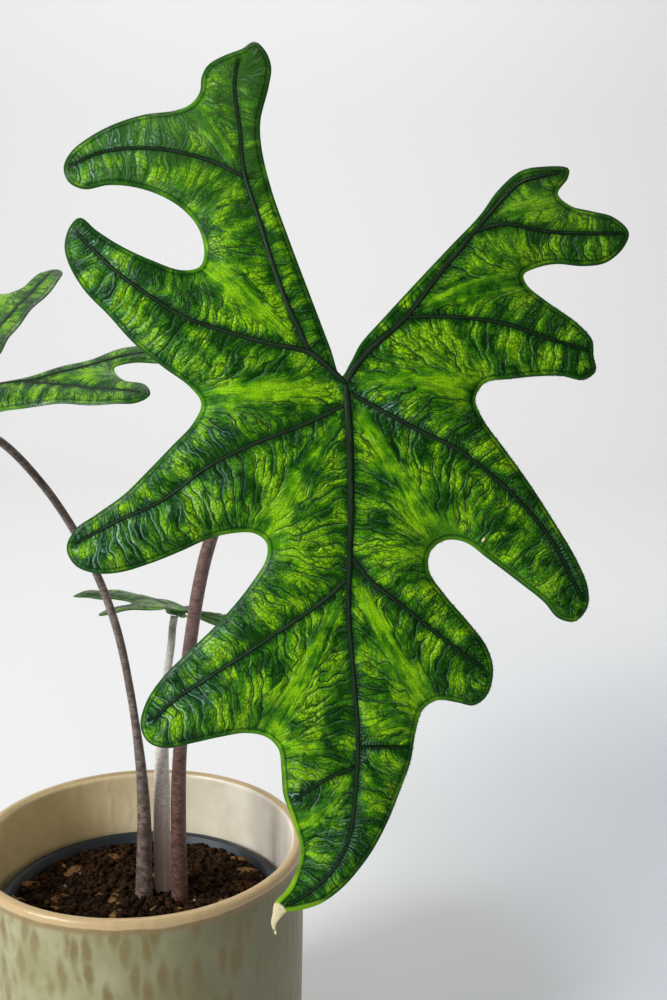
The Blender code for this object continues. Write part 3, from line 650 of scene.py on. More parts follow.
# %% [markdown]
# ## Materials from small nodes
#
# The materials are built from shader nodes. One helper adds a node and plugs in its inputs, and a
# small class lets a node's output stand in a formula, so each sum or product below is one more
# node. What several finishes share, such as the leaf's net of small veins, becomes a node group
# that gives out masks and heights only.

# %% Shader helpers
class Value:
    """A shader node's output. Adding, subtracting, multiplying or dividing makes one more node."""

    def __init__(self, tree, socket):
        self.tree = tree
        self.socket = socket

    def __add__(self, other):
        return calc("ADD", self, other)

    def __sub__(self, other):
        return calc("SUBTRACT", self, other)

    def __rsub__(self, other):
        return calc("SUBTRACT", other, self)

    def __mul__(self, other):
        return calc("MULTIPLY", self, other)

    def __truediv__(self, other):
        return calc("DIVIDE", self, other)


def plug(value, socket):
    """Feed a node's input with a number, a colour or another node's output."""
    if isinstance(value, Value):
        value.tree.links.new(value.socket, socket)
    else:
        socket.default_value = value


def put(tree, kind, inputs=(), output=0, **settings):
    """A new shader node with its inputs plugged in. Gives its output, or a list of several."""
    made = tree.nodes.new("ShaderNode" + kind)
    for key, value in settings.items():
        setattr(made, key, value)
    for key, value in dict(inputs).items():
        plug(value, made.inputs[key])
    if isinstance(output, tuple):
        return [Value(tree, made.outputs[key]) for key in output]
    return Value(tree, made.outputs[output])


def calc(operation, *values):
    """The result of one piece of arithmetic on outputs and plain numbers."""
    tree = next(value.tree for value in values if isinstance(value, Value))
    return put(tree, "Math", enumerate(values), operation=operation)


def fade(value, low, high, start=0.0, end=1.0):
    """A smooth change from start to end while the value goes from low to high."""
    return put(value.tree, "MapRange", {0: value, 1: low, 2: high, 3: start, 4: end},
               interpolation_type="SMOOTHSTEP")


def blend(share, first, second):
    """Two colours mixed by a share."""
    first, second = ((*colour, 1) if isinstance(colour, tuple) else colour
                     for colour in (first, second))
    return put(share.tree, "Mix", {"Factor": share, 6: first, 7: second}, 2, data_type="RGBA")


def stretched(place, *factors):
    """A place with each of its coordinates multiplied."""
    return put(place.tree, "VectorMath", {0: place, 1: factors}, operation="MULTIPLY")


def split(place):
    """The three coordinates of a place."""
    return put(place.tree, "SeparateXYZ", {0: place}, (0, 1, 2))


def joined(x, y, z):
    """A place from its three coordinates."""
    return put(x.tree, "CombineXYZ", {0: x, 1: y, 2: z})


def noise(place, scale, detail=2.0, roughness=0.5, kind="3D"):
    """Smooth random values from 0 to 1. A scale of three numbers stretches the place first."""
    if isinstance(scale, tuple):
        place, scale = stretched(place, *scale), 1.0
    return put(place.tree, "TexNoise", {"Vector": place, "Scale": scale, "Detail": detail,
                                        "Roughness": roughness}, "Fac", noise_dimensions=kind)


def object_place(tree):
    """The place on the piece in metres."""
    return put(tree, "TexCoord", output="Object")


def new_group(name, inputs, outputs):
    """An empty node group: its tree, its inputs as values, and its output sockets by name."""
    tree = bpy.data.node_groups.new(name, "ShaderNodeTree")
    for way, sockets in (("INPUT", inputs), ("OUTPUT", outputs)):
        for label, kind in sockets.items():
            tree.interface.new_socket(label, in_out=way, socket_type="NodeSocket" + kind)
    start, end = tree.nodes.new("NodeGroupInput"), tree.nodes.new("NodeGroupOutput")
    return tree, [Value(tree, start.outputs[label]) for label in inputs], end.inputs


def new_material(name, roughness, specular=0.5):
    """A material, its node tree and the inputs of its Principled shader."""
    made = bpy.data.materials.new(name)
    made.use_nodes = True
    shader = made.node_tree.nodes["Principled BSDF"].inputs
    shader["Roughness"].default_value = roughness
    shader["Specular IOR Level"].default_value = specular
    print("material", name, "with roughness", roughness)
    return made, made.node_tree, shader


def skin(shader, colour, height, strength, distance):
    """Give a shader its colour, and a bump whose height counts in distances of so many metres."""
    plug(colour, shader["Base Color"])
    bump = put(colour.tree, "Bump", {"Height": height, "Strength": strength, "Distance": distance})
    plug(bump, shader["Normal"])


# %% [markdown]
# ## The net of small veins
#
# Finer veins run side by side along the flow, and short rungs join them into small cells. A Voronoi
# pattern in flow coordinates draws the cells, and lines of even phase draw the finer veins. Where
# the flow lines crowd together both would be squeezed, so both come in octaves: each octave is twice
# as fine as the last, and fades out where its own lines would lie too close. In the corners of the
# bays, where even that is too much, the cells are drawn over the leaf's plan instead.

# %% Flow coordinates in the group
CELL = 1.25                    # a small cell's width in millimetres
RUNG = 2.1                     # a coarse cell's width
RUNG_LENGTH = 6.4
STREAK = 6.4                   # the width of the brighter and darker stripes
WANDER = 1.8                   # how far the finer veins wander sideways together
OWN_WANDER = 0.9               # and each by itself
GLINT_ASIDE = 0.42             # how far a glint lies from its dark line
NET_OUTPUTS = ("cells", "lines", "streaks", "dark", "glint", "relief")

net, (flow, plan, given_crowd), net_ends = new_group(
    "leaf_net", {"Flow": "Vector", "Plan": "Vector", "Crowd": "Float"},
    dict.fromkeys(NET_OUTPUTS, "Float"))
crowd = calc("MAXIMUM", given_crowd, CROWD_LIMITS[0])
across, up, _ = split(flow)
wander = (noise(plan, (0.23, 0.23, 0), 1.0, 0.5, "2D") - 0.5) * (WANDER / SECONDARY_PITCH)
phase = calc("MULTIPLY_ADD", wander, crowd, across)
octave = calc("LOGARITHM", crowd, 2.0)
level = calc("FLOOR", octave)
share = fade(octave - level, 0.4, 0.6)


def wobbled(cell):
    """A place moved by soft noise, so that the rows of cells are not straight."""
    wobble = put(net, "TexNoise", {"Vector": cell, "Scale": 0.7, "Detail": 1.0}, "Color")
    wobble = put(net, "VectorMath", {0: wobble, 1: (0.5, 0.5, 0.5)}, operation="SUBTRACT")
    return put(net, "VectorMath", {0: wobble, 1: (0.9, 0.9, 0), 2: cell}, operation="MULTIPLY_ADD")


def in_octaves(width, length, pattern):
    """A pattern whose cells keep their width and length in millimetres however the flow lines
    crowd: it is drawn at two sizes, one twice the other, and fades from one into the next."""
    values = []
    for extra in (0.0, 1.0):
        size = calc("POWER", 2.0, level + extra)
        column = phase * (SECONDARY_PITCH / width) / size
        values.append(pattern(wobbled(joined(column, up / length, 0.0))))
    one, two = values
    return one * (1.0 - share) + two * share


def over_plan(size, pattern):
    """The same kind of pattern drawn over the leaf's plan."""
    return pattern(wobbled(stretched(plan, 1 / size, 1 / size, 0)))


def mixed(first, second):
    """The first value, and in the bays' corners, where the flow lines lie too close to carry a
    pattern, the second one."""
    corner = fade(crowd, 1.8, 3.0)
    return calc("MULTIPLY_ADD", second - first, corner, first)


def cell_edges(low, high):
    """A pattern: 1 on the edges of Voronoi cells, fading to 0 at a distance from them."""
    def pattern(place):
        found = put(net, "TexVoronoi", {"Vector": place, "Scale": 1.0, "Randomness": 0.85},
                    "Distance", feature="DISTANCE_TO_EDGE", voronoi_dimensions="2D")
        return fade(found, low, high, 1.0, 0.0)
    return pattern


def plain_noise(place):
    """A pattern: soft noise."""
    return noise(place, 1.0, 1.8, 0.5, "2D")


cells = mixed(in_octaves(CELL, 1.25 * CELL, cell_edges(0.02, 0.16)),
              over_plan(CELL, cell_edges(0.02, 0.16)) * 0.5)
rungs = in_octaves(RUNG, RUNG_LENGTH, cell_edges(0.0, 0.3))
lines = mixed(in_octaves(1.4 * CELL, 9 * CELL, plain_noise), over_plan(2 * CELL, plain_noise))
streaks = in_octaves(STREAK, 2.6 * STREAK, plain_noise)

# %% The finer veins, one octave at a time
broken = fade(noise(joined(phase * 1.7, up * 0.1, 0.0), 1.0, 1.0, 0.5, "2D"), 0.28, 0.44, 0.15, 1.0)


def finer_veins(times, shift, width, weakest, widest):
    """Where phase * times + shift is a whole number lies a vein, each with a strength of its own:
    a dark line, a pale glint along its flank, and the valley that it lies in. The veins fade where
    they would lie too close together, and the coarsest also where they would lie too far apart."""
    own_seed = 10 * times + shift
    place = calc("MULTIPLY_ADD", phase, times, shift)
    whole = calc("ROUND", place)
    pitch = calc("DIVIDE", SECONDARY_PITCH / times, crowd)
    way = joined(calc("MULTIPLY_ADD", whole, 3.7, own_seed), up * 0.11, 0.0)
    own = fade(noise(way, 1.0, 1.0, 0.5, "2D"), 0.25, 0.75, -OWN_WANDER, OWN_WANDER)
    beside = calc("MULTIPLY_ADD", place - whole, pitch, own)
    away = calc("ABSOLUTE", beside)
    chance = put(net, "TexWhiteNoise", {"W": whole + own_seed}, "Value", noise_dimensions="1D")
    strength = fade(chance, 0.0, 0.6, weakest, 1.0) * (
        fade(pitch, 2.8, 5.0) * fade(pitch, 0.7 * widest, widest, 1.0, 0.0))
    flank = calc("ABSOLUTE", beside + GLINT_ASIDE)
    masks = joined(fade(away, 0.15 * width, width, 1.0, 0.0), fade(flank, 0.05, 0.32, 1.0, 0.0),
                   fade(away, 0.0, 1.4, 1.0, 0.0))
    return put(net, "VectorMath", {0: masks, "Scale": strength}, operation="SCALE")


VEIN_FAMILIES = (              # times, shift, width, least strength, widest spacing
    (0.125, 0.0, 0.5, 0.6, 14), (0.25, 0.0, 0.56, 0.5, 90), (0.25, 0.5, 0.54, 0.35, 90),
    (0.5, 0.5, 0.48, 0.25, 90), (1.0, 0.5, 0.4, 0.0, 90), (2.0, 0.5, 0.4, 0.0, 90))
masks = (0, 0, 0)
for family in VEIN_FAMILIES:
    masks = put(net, "VectorMath", {0: masks, 1: finer_veins(*family)}, operation="MAXIMUM")
dark, glint, valley = split(masks)
rung_share = fade(noise(plan, (0.12, 0.12, 0), 1.0, 0.5, "2D"), 0.38, 0.58, 0.3, 1.0)
rung_line = fade(rungs, 0.55, 0.92) * rung_share
rung_valley = rungs * rung_share
dark = calc("MAXIMUM", dark * broken, rung_line * 0.8)
valley = calc("MAXIMUM", valley * broken, rung_valley * 0.6)
glint = glint * broken

# %% The net's relief in millimetres
relief = cells * -0.07
for value, height in ((lines, 0.25), (valley, -0.5), (dark, 0.1)):
    relief = calc("MULTIPLY_ADD", value, height, relief)
for label, value in zip(NET_OUTPUTS, (cells, lines, streaks, dark, glint, relief)):
    plug(value, net_ends[label])
print("leaf_net:", len(net.nodes), "nodes")


# %% [markdown]
# ## The leaf's own colours, and the light and shade painted on them
#
# The skin is a glossy yellow green where light comes through between the veins, and deep green beside
# them. Each small vein is a dark line. Along the margin runs a thin green rim and a dark vein beside
# it. The underside is paler and duller. A painted picture would fix all this to one leaf, so the
# colour is worked out in layers instead, one function for each, and three leaves share them. Only the
# bright patches that a viewer notices first are placed one by one, as soft spots that the pattern then
# breaks up.
# Some of the leaf's colour is painted light: the deep green beside the thick veins is partly painted
# shade of their valleys, and the bluish sheen, the glints beside the finer veins and the pale ticks are
# painted reflection and highlights.

# %% A leaf's colours
YELLOW_GREEN = (0.24, 0.53, 0.004)
MID_GREEN = (0.050, 0.215, 0.003)
DEEP_GREEN = (0.008, 0.064, 0.001)
NET_GREEN = (0.001, 0.017, 0.001)
PLAIN_GREEN = (0.045, 0.17, 0.004)
RIM_GREEN = (0.07, 0.22, 0.008)
RIM_DARK = (0.014, 0.062, 0.012)
LIME = (0.20, 0.40, 0.012)
SOFT_GREEN = (0.060, 0.165, 0.022)
SPECK = (0.42, 0.55, 0.42)
DRY_CREAM = (0.68, 0.60, 0.36)
DRY_SPOT = (0.40, 0.29, 0.14)
UNDER_GREEN = (0.10, 0.22, 0.06)
# The two sheen colours are painted reflection and highlight: a bluish haze on dark green, and pale
# streaks, glints and ticks.
SHEEN_DARK = (0.020, 0.085, 0.030)
SHEEN_PALE = (0.36, 0.56, 0.50)


# %% What a leaf's finish reads
LEAF_NUMBERS = ("to_vein", "to_margin", "crowd", "under",
                "glow", "sheen", "plain", "lime", "comb", "dry")


def leaf_inputs(tree):
    """The two maps, the attributes and the net's masks, each by its name."""
    found = {"flow": put(tree, "UVMap", uv_map="flow"), "plan": put(tree, "UVMap", uv_map="leaf")}
    for label in LEAF_NUMBERS:
        found[label] = put(tree, "Attribute", output="Fac", attribute_name=label)
    masks = put(tree, "Group", {"Flow": found["flow"], "Plan": found["plan"],
                                "Crowd": found["crowd"]}, NET_OUTPUTS, node_tree=net)
    return SimpleNamespace(**found, **dict(zip(NET_OUTPUTS, masks)))


# %% Light between the veins
def lit_green(leaf, bright):
    """Deep, middle or yellow green by how much light comes through: the sum of the bright spots,
    streaks, fine lines and broad patches, less by the margin and beside veins, where the loss is
    painted shade of the valleys they lie in. Gives the light too."""
    patches = noise(leaf.plan, (0.11, 0.11, 0), 2.0, 0.5, "2D")
    light = leaf.glow + (bright + 0.11)
    fan = fade(leaf.crowd, 0.8, 2.4, 2.3, 1.1)
    for value, weight in ((leaf.streaks, fan), (leaf.lines, 0.5), (patches, 1.6)):
        light = calc("MULTIPLY_ADD", value - 0.5, weight, light)
    # Darker beside the thick veins: painted shade of their valleys.
    for change in ((leaf.to_vein, 0.6, 3.5, -0.4, 0.0), (leaf.to_margin, 1.0, 5.0, -0.13, 0.0),
                   (leaf.crowd, 1.0, 3.0, 0.0, 0.08)):
        light = light + fade(*change)
    colour = blend(fade(light, -0.3, 0.15), DEEP_GREEN, MID_GREEN)
    return blend(fade(light, 0.08, 0.6), colour, YELLOW_GREEN), light


# %% Small cells and the painted bluish sheen
def with_sheen(leaf, colour, light):
    """Dark edges of the small cells, then painted reflection in the sheen's spots: a bluish haze,
    strongest on the darker green, and pale highlight streaks there that follow the fine lines and
    are torn by noise. Gives that noise too."""
    colour = blend(leaf.cells * 0.66, colour, NET_GREEN)
    # Painted reflection: a bluish haze and pale highlight streaks where the sheen spots lie.
    colour = blend(leaf.sheen * fade(light, -0.2, 0.4, 0.5, 0.1), colour, SHEEN_DARK)
    streak = leaf.sheen * fade(leaf.lines, 0.48, 0.62, 0.0, 0.8)
    torn = noise(leaf.plan, (0.8, 0.8, 0), 2.0, 0.6, "2D")
    streak = streak * fade(torn, 0.46, 0.62) * fade(leaf.cells, 0.1, 0.6, 1.0, 0.1)
    return blend(streak, colour, SHEEN_PALE), torn


# %% Finer veins and their painted glints
def with_finer_veins(leaf, colour):
    """Dark lines and the pale glints beside them, which are painted highlights, weaker at the margin,
    in the bays' corners and on plain stretches. Gives that weakening too."""
    away = (fade(leaf.to_margin, 0.9, 2.0) * fade(leaf.crowd, 2.0, 4.5, 1.0, 0.55)
            * fade(leaf.plain, 0.3, 0.8, 1.0, 0.0))
    colour = blend(leaf.dark * 0.92 * away, colour, NET_GREEN)
    # Painted highlights: pale glints beside the finer veins, stronger in the sheen spots.
    glint = leaf.glint * away * calc("MULTIPLY_ADD", leaf.sheen, 0.5, 0.06)
    return blend(glint, colour, SHEEN_PALE), away


# %% Painted highlight ticks, plain stretches and specks
def with_marks(leaf, colour, torn):
    """Short ticks of painted highlight across the flanks of some thick veins, from a wave along the
    flow map. Then plain stretches, pale specks near the middles of random cells, and a softer upper
    part."""
    # Painted highlight: short pale ticks beside some thick veins.
    tick = put(leaf.flow.tree, "TexWave", {
        "Vector": stretched(leaf.flow, 1, 0.02, 0), "Scale": 1.2, "Distortion": 1.2, "Detail": 1.0},
        "Fac", wave_profile="SIN")
    tick = (leaf.comb * fade(tick, 0.45, 0.8) * fade(leaf.to_vein, 1.5, 3.6, 0.5, 0.0)
            * fade(torn, 0.38, 0.56, 0.1, 1.0))
    colour = blend(tick, colour, SHEEN_PALE)
    colour = blend(fade(leaf.plain, 0.3, 0.9, 0.0, 0.85), colour, PLAIN_GREEN)
    x, y, _ = split(leaf.plan)
    distance, tone = put(leaf.plan.tree, "TexVoronoi", {"Vector": leaf.plan, "Scale": 1.0},
                         ("Distance", "Color"), voronoi_dimensions="2D")
    chance = put(leaf.plan.tree, "SeparateColor", {0: tone})
    speck = fade(distance, 0.05, 0.22, 1.0, 0.0) * fade(chance, 0.55, 0.9) * (
        fade(x, -30, 30, 0.15, 0.45) * fade(leaf.to_margin, 2, 14, 1.0, 0.35))
    colour = blend(speck, colour, SPECK)
    return blend(fade(y, 25, 100, 0.0, 0.38), colour, SOFT_GREEN)


# %% The margin, and painted shade beside thick veins
def with_margin(leaf, colour):
    """A dark vein 1.6 mm inside the margin, a rim that is greener in the bays, lime stretches, and
    a dark seam beside each thick vein, which is painted shade of the valley that it lies in."""
    beside_margin = calc("ABSOLUTE", leaf.to_margin - 1.6)
    colour = blend(fade(beside_margin, 0.2, 0.6, 0.6, 0.0), colour, NET_GREEN)
    rim_colour = blend(fade(leaf.crowd, 1.2, 2.6), RIM_DARK, RIM_GREEN)
    colour = blend(fade(leaf.to_margin, 0.35, 1.2, 0.9, 0.0), colour, rim_colour)
    lime = leaf.lime * fade(leaf.to_margin, 0.8, 2.4, 1.0, 0.0)
    colour = blend(fade(lime, 0.2, 0.9, 0.0, 0.9), colour, LIME)
    # Painted shade: a dark seam beside each thick vein.
    return blend(fade(leaf.to_vein, 0.45, 1.2, 0.9, 0.0), colour, NET_GREEN)


# %% The underside and dry spots
def with_underside(leaf, colour):
    """A paler, duller green with fainter veins where the attribute under is 1, and cream with brown
    spots where the leaf is dry. Gives the dry places too."""
    spotty = noise(leaf.plan, (2.2, 2.2, 0), 2.0, 0.6, "2D")
    cream = blend(fade(spotty, 0.55, 0.75), DRY_CREAM, DRY_SPOT)
    dried = fade(leaf.dry, 0.33, 0.4)
    below = blend(leaf.cells * 0.35, UNDER_GREEN, MID_GREEN)
    below = blend(leaf.dark * 0.6, below, DEEP_GREEN)
    below = blend(fade(leaf.to_vein, 0.6, 2.2, 0.8, 0.0), below, DEEP_GREEN)
    colour = blend(fade(leaf.under, 0.4, 0.6), colour, below)
    return blend(dried, colour, cream), dried


# %% The blade's finish
def blade_finish(name, gloss, bright=0.0, sky=0.06):
    """One leaf's skin: its roughness, how much brighter it is than the front leaf's, and how much
    of the sky it mirrors."""
    made, tree, shader = new_material(name, gloss, sky)
    leaf = leaf_inputs(tree)
    colour, light = lit_green(leaf, bright)
    colour, torn = with_sheen(leaf, colour, light)
    colour, away = with_finer_veins(leaf, colour)
    colour = with_margin(leaf, with_marks(leaf, colour, torn))
    colour, dried = with_underside(leaf, colour)
    skin(shader, colour, leaf.relief * (away * fade(leaf.to_margin, 1.0, 5.0, 0.35, 1.0)), 1.0, MM)
    wear = noise(leaf.plan, (0.3, 0.3, 0), 3.0, 0.6, "2D")
    shine = fade(wear, 0.3, 0.75, gloss - 0.05, gloss + 0.12) + fade(leaf.under, 0.4, 0.6, 0.0, 0.25)
    plug(calc("MULTIPLY_ADD", dried, 0.4, shine), shader["Roughness"])
    print(name, "has", len(tree.nodes), "nodes")
    return made


# %% [markdown]
# ## The thick veins' finish
#
# The thick veins are smooth and nearly black, and a highlight runs along the top of each. That
# highlight could be left to the lights, but it would then move with the view. The cords carry a map
# of the angle round them, so the finish finds the crest from that angle and paints the highlight
# there, a little paler.

# %% Dark veins with a painted highlight on the crest
VEIN_GREEN = (0.006, 0.022, 0.008)
VEIN_DARK = (0.002, 0.008, 0.002)
# The crest's pale colour is a painted highlight.
VEIN_CREST_HIGHLIGHT = (0.018, 0.036, 0.014)


def rib_finish():
    """Smooth, nearly black green with faint lengthwise streaks, and a paler painted highlight along
    the crest, which is where the angle round the tube is a quarter turn."""
    made, tree, shader = new_material("thick_veins", 0.34, 0.14)
    along = put(tree, "UVMap", uv_map="along")
    streaks = noise(along, (1.2, 0.12, 0), 2.0, 0.6, "2D")
    from_top = calc("ABSOLUTE", split(along)[0] - math.pi / 2)
    ground = blend(fade(streaks, 0.3, 0.7), VEIN_DARK, VEIN_GREEN)
    # Painted highlight along the crest.
    crest = fade(from_top, 0.1, 0.6, 1.0, 0.0) * fade(streaks, 0.2, 0.6, 0.3, 1.0)
    skin(shader, blend(crest, ground, VEIN_CREST_HIGHLIGHT), streaks, 0.3, 0.0003)
    return made


# %% [markdown]
# ## Thick veins as cords
#
# On the upper side each thick vein is a rounded cord that lies in the valley between two panels and
# thins towards the lobe's tip. A ridge could be raised out of the blade's own grid, but its edge
# would be as coarse as that grid. A flat oval carried along the vein's line stays crisp. Its middle
# lies just under the blade's skin, so a little less than half of it shows.

# %% A tube along a path
def stacked_rings(count, sides):
    """The faces of rings stacked one on the other: squares between them, and a fan at each end
    to one of the two points that follow the rings."""
    rows = np.arange(count - 1)[:, None] * sides
    k = np.arange(sides)
    after = (k + 1) % sides
    walls = np.stack([rows + k, rows + after, rows + sides + after, rows + sides + k], axis=-1)
    first, last, top = count * sides, count * sides + 1, (count - 1) * sides
    fans = np.vstack([np.stack([first + 0 * k, after, k], axis=1),
                      np.stack([last + 0 * k, top + k, top + after], axis=1)])
    return walls.reshape(-1, 4), fans


def tube(path, across, lift, half_width, half_height, sides):
    """Ovals carried along a path: across * half width * cos + lift * half height * sin, closed by
    a fan at each end. Gives points, faces and the place on the tube (angle, length)."""
    turns = np.arange(sides) * math.tau / sides
    ring = (across[:, None] * (half_width[:, None] * np.cos(turns))[..., None]
            + lift[:, None] * (half_height[:, None] * np.sin(turns))[..., None])
    points = np.vstack([(path[:, None] + ring).reshape(-1, 3), path[:1], path[-1:]])
    walls, fans = stacked_rings(len(path), sides)
    length = marks_along(path)
    place = np.stack(np.broadcast_arrays(turns[None], length[:, None]), axis=-1).reshape(-1, 2)
    return points, walls, fans, np.vstack([place, [(0, 0), (0, length[-1])]])


# %% The cords of one leaf
RIB_STEP = 0.9
RIB_SIDES = 12
RIB_FLATNESS = 0.55            # a cord's height over its width
RIB_SINK = 0.12                # how far its middle lies under the skin, in half widths


def leaf_ribs(name, layout, turn, widths, look):
    """All the thick veins of a leaf in one piece. The widths are each vein's visible half width at
    its start and its end, and it thins as (1 - share of its length) to the power 1.5."""
    parts, count = [], 0
    for branch, (start, end) in zip(layout["veins"], widths):
        line = resample(branch["line"], RIB_STEP)
        normal, centre = read(layout, "normal", line), read(layout, "middle", line)
        across = unit(np.cross(normal, np.gradient(centre, axis=0)))
        t = np.linspace(0, 1, len(line))
        half = end + (start - end) * (1 - t)**1.5
        blunt_end, blunt_start = (np.sqrt(np.clip(1.002 - share, 0, 1)) for share in (t**14, (1 - t)**30))
        half = half * blunt_end * blunt_start
        centre = centre + normal * (SKIN_THICKNESS / 2 - RIB_SINK * half)[:, None]
        points, walls, fans, place = tube(centre, across, normal, half, RIB_FLATNESS * half, RIB_SIDES)
        parts.append((points, walls + count, fans + count, place))
        count += len(points)
    points, walls, fans, places = (np.vstack(part) for part in zip(*parts))
    return mesh_piece(name, turn(points), [walls, fans], look, maps={"along": places})


# %% [markdown]
# ## The front leaf
#
# The large leaf hangs face on. Its margin was drawn in millimetres from the stalk's joint, lobe by
# lobe and bay by bay, anticlockwise from the cleft between the two upper lobes. Its veins start at
# the joint or on another vein. Both are the curves that shape the solid, but for a slimmer dry tip.

# %% The front leaf's margin
FRONT_OUTLINE = [
    # Left posterior lobe
    (-1.7, 2), (-5.5, 12), (-12, 29), (-19, 47.5), (-25.5, 66), (-28.8, 80.5), (-29, 89), (-26.3, 100),
    (-25.4, 107), (-27.5, 112.5), (-31, 115.4), (-35, 113), (-41, 110.7), (-46.5, 107.5), (-48.7, 103.5),
    (-49.3, 98.5), (-52.5, 94.2),
    # Left lobe 1
    (-58, 92), (-68, 90.7), (-78, 87.6), (-86.5, 83.2), (-93, 78), (-95.4, 72.8), (-93.7, 68),
    (-88.5, 65.6), (-80.5, 67), (-71.5, 66.3), (-62.3, 63.3), (-54.8, 58.5),
    # Left bay 1
    (-49.6, 52), (-47.8, 44), (-49.3, 39.3),
    # Left lobe 2
    (-55.5, 38), (-66.3, 41.6), (-76.5, 46.4), (-84.5, 51.5), (-90, 55.8), (-93.2, 53), (-95.1, 46.5),
    (-93.7, 40.3), (-88.5, 31.5), (-80.3, 23), (-71.8, 13.6), (-61.5, 5.2), (-52.7, -1.3),
    # Left bay 2
    (-48.8, -7),
    # Left lobe 3
    (-51.8, -14), (-59, -21.7), (-67, -30), (-75, -37.9), (-84.5, -44.7), (-91.5, -49.7), (-94.4, -56),
    (-91.5, -61.7), (-85, -64.3), (-76.5, -64), (-66.3, -61), (-56, -56.9), (-46.7, -52.8),
    (-38.5, -50.8),
    # Left bay 3
    (-31, -50.8), (-26.8, -54), (-26.8, -59.5),
    # Left lobe 4
    (-31, -66.7), (-37.2, -74.8), (-45.3, -83.6), (-54.5, -92.3), (-62.5, -100.5), (-67.5, -108.2),
    (-69.4, -116), (-66.8, -121.5), (-61, -123.5), (-52, -121.8), (-43, -119.8), (-34, -118.4),
    # Left bay 4
    (-27, -119.7), (-22.8, -123.7), (-21.7, -131),
    # End lobe left
    (-21, -139.4), (-17.8, -148.7), (-15.2, -158), (-16.8, -165.5), (-20, -171.6), (-24, -176),
    # Dry tip
    (-24.7, -180), (-25.2, -182.8), (-23.4, -187.2), (-23.8, -183.4), (-22.2, -181), (-19.9, -178.8),
    # End lobe right
    (-17.5, -178.7), (-9, -176.3), (-1.5, -171), (4.7, -164.1), (9.3, -157.5), (14, -148.5), (18.2, -138),
    (21.7, -128.3), (23.5, -118),
    # Right bay 4
    (26, -110.5), (31, -107.3),
    # Right lobe 4
    (37.5, -108), (43.3, -109), (47.8, -105.5), (49.7, -97), (47.5, -89.3), (41.3, -81), (33.3, -71.7),
    # Right bay 3
    (28, -63.5), (28.6, -57), (33.5, -53.2),
    # Right lobe 3
    (40.3, -53.8), (48, -59.3), (59.5, -68), (67, -74), (72, -79.6), (77.5, -80.6), (81.6, -76),
    (81.8, -69.5), (78, -60), (70, -46.5), (61.6, -33.5), (53.5, -22.3), (46.4, -12.5),
    # Right bay 2
    (43.7, -5.5), (47, 0),
    # Right lobe 2
    (55.5, 1.4), (66, 2.4), (73, 2.4), (80.5, 1.1), (84.5, 4.2), (83.7, 9), (83.2, 14.5), (78, 20.3),
    (68.4, 27.1), (61.2, 33),
    # Right bay 1
    (60, 36.6), (64.5, 39),
    # Right lobe 1
    (71, 40.3), (80.5, 39.6), (88, 40.8), (94, 46), (95.6, 51), (90.4, 56), (83, 58), (76, 59.8),
    # Right posterior lobe
    (71.6, 64), (75, 69.3), (75.3, 72.4), (66, 73), (59, 71.5), (51.5, 65), (45.5, 56.7), (36, 46.7),
    (24.5, 34.5), (12.5, 21.5), (5, 13), (1.7, 6.8)]
print("front margin:", len(FRONT_OUTLINE), "points")


# %% The front leaf's veins
MIDRIB = ((2.2, 1.4), (1.0, 0.9))          # half widths and depths, each at the start and the end
COSTA = ((1.7, 1.3), (0.8, 0.7))
SIDE = ((1.5, 1.2), (0.7, 0.6))
SMALL = ((0.9, 0.8), (0.6, 0.5))

FRONT_VEINS = [
    vein([(0, 0), (1.4, -22.7), (1.7, -46), (1, -66.7), (1, -80), (2.7, -100.5), (4.1, -120.8),
          (3, -141), (1, -154), (-4.4, -164.8), (-13.9, -173.3), (-19.6, -176.3)], MIDRIB),
    vein([(-12.2, 10.2), (-19, 24.7), (-25, 40.9), (-29.8, 56.9), (-34.2, 70.4), (-35.9, 85.6),
          (-37.6, 100.8), (-36.5, 109)], COSTA, 3),
    vein([(-33.5, 69), (-44.3, 74.4), (-59.6, 78.5), (-73.1, 79.2), (-84.9, 77.2), (-93, 73.3)],
         SIDE, 1),
    vein([(0, 0), (-7.1, 6.1), (-12.2, 10.2), (-25.7, 13.2), (-42.6, 17.9), (-56.2, 23),
          (-68, 30.5), (-79.2, 38.9), (-91, 50.8)], COSTA),
    vein([(0, -7.4), (-12.2, -13.2), (-32.5, -21.3), (-46, -28.1), (-62.9, -40.3), (-76.5, -46.4),
          (-91, -54)], SIDE, 0),
    vein([(1, -66), (-7.1, -73.4), (-25.7, -86.3), (-46, -99.5), (-57.9, -107.3), (-65, -114)],
         SIDE, 0),
    vein([(3, -129.9), (-7.1, -134.3), (-16.5, -140.5)], SMALL, 0),
    vein([(4.1, -123.2), (20.5, -123.2)], SMALL, 0),
    vein([(2, -58.9), (8.1, -66.7), (18.3, -74.8), (31.8, -85.6), (46.6, -96.6)], SIDE, 0),
    vein([(1.4, -3.4), (11.5, -9.1), (25, -16.2), (36.9, -22), (48.7, -30.8), (58.9, -40.3),
          (69, -52.5), (79.6, -72.5)], SIDE, 0),
    vein([(0, 0), (5.4, 8.5), (20, 22), (30.8, 35.5), (43.7, 51.1), (53.8, 62.9), (59.5, 67.8),
          (72, 71)], COSTA),
    vein([(20, 22), (31.8, 22.3), (52.1, 20.3), (65.6, 15.9), (81.5, 10.8)], SIDE, 10),
    vein([(43.7, 51.1), (53.8, 53.5), (67.3, 51.1), (79.2, 50.4), (93, 50.4)], SIDE, 10)]
FRONT_ROOTS = [10, 0, 3]       # the veins that start at the joint, clockwise from the cleft
FRONT_WIDTHS = [(1.6, 0.5), (1.2, 0.45), (0.85, 0.35), (1.3, 0.4), (0.95, 0.35), (0.85, 0.35),
                (0.35, 0.2), (0.24, 0.1), (0.85, 0.35), (0.95, 0.35), (1.5, 0.45), (0.8, 0.35),
                (0.75, 0.35)]
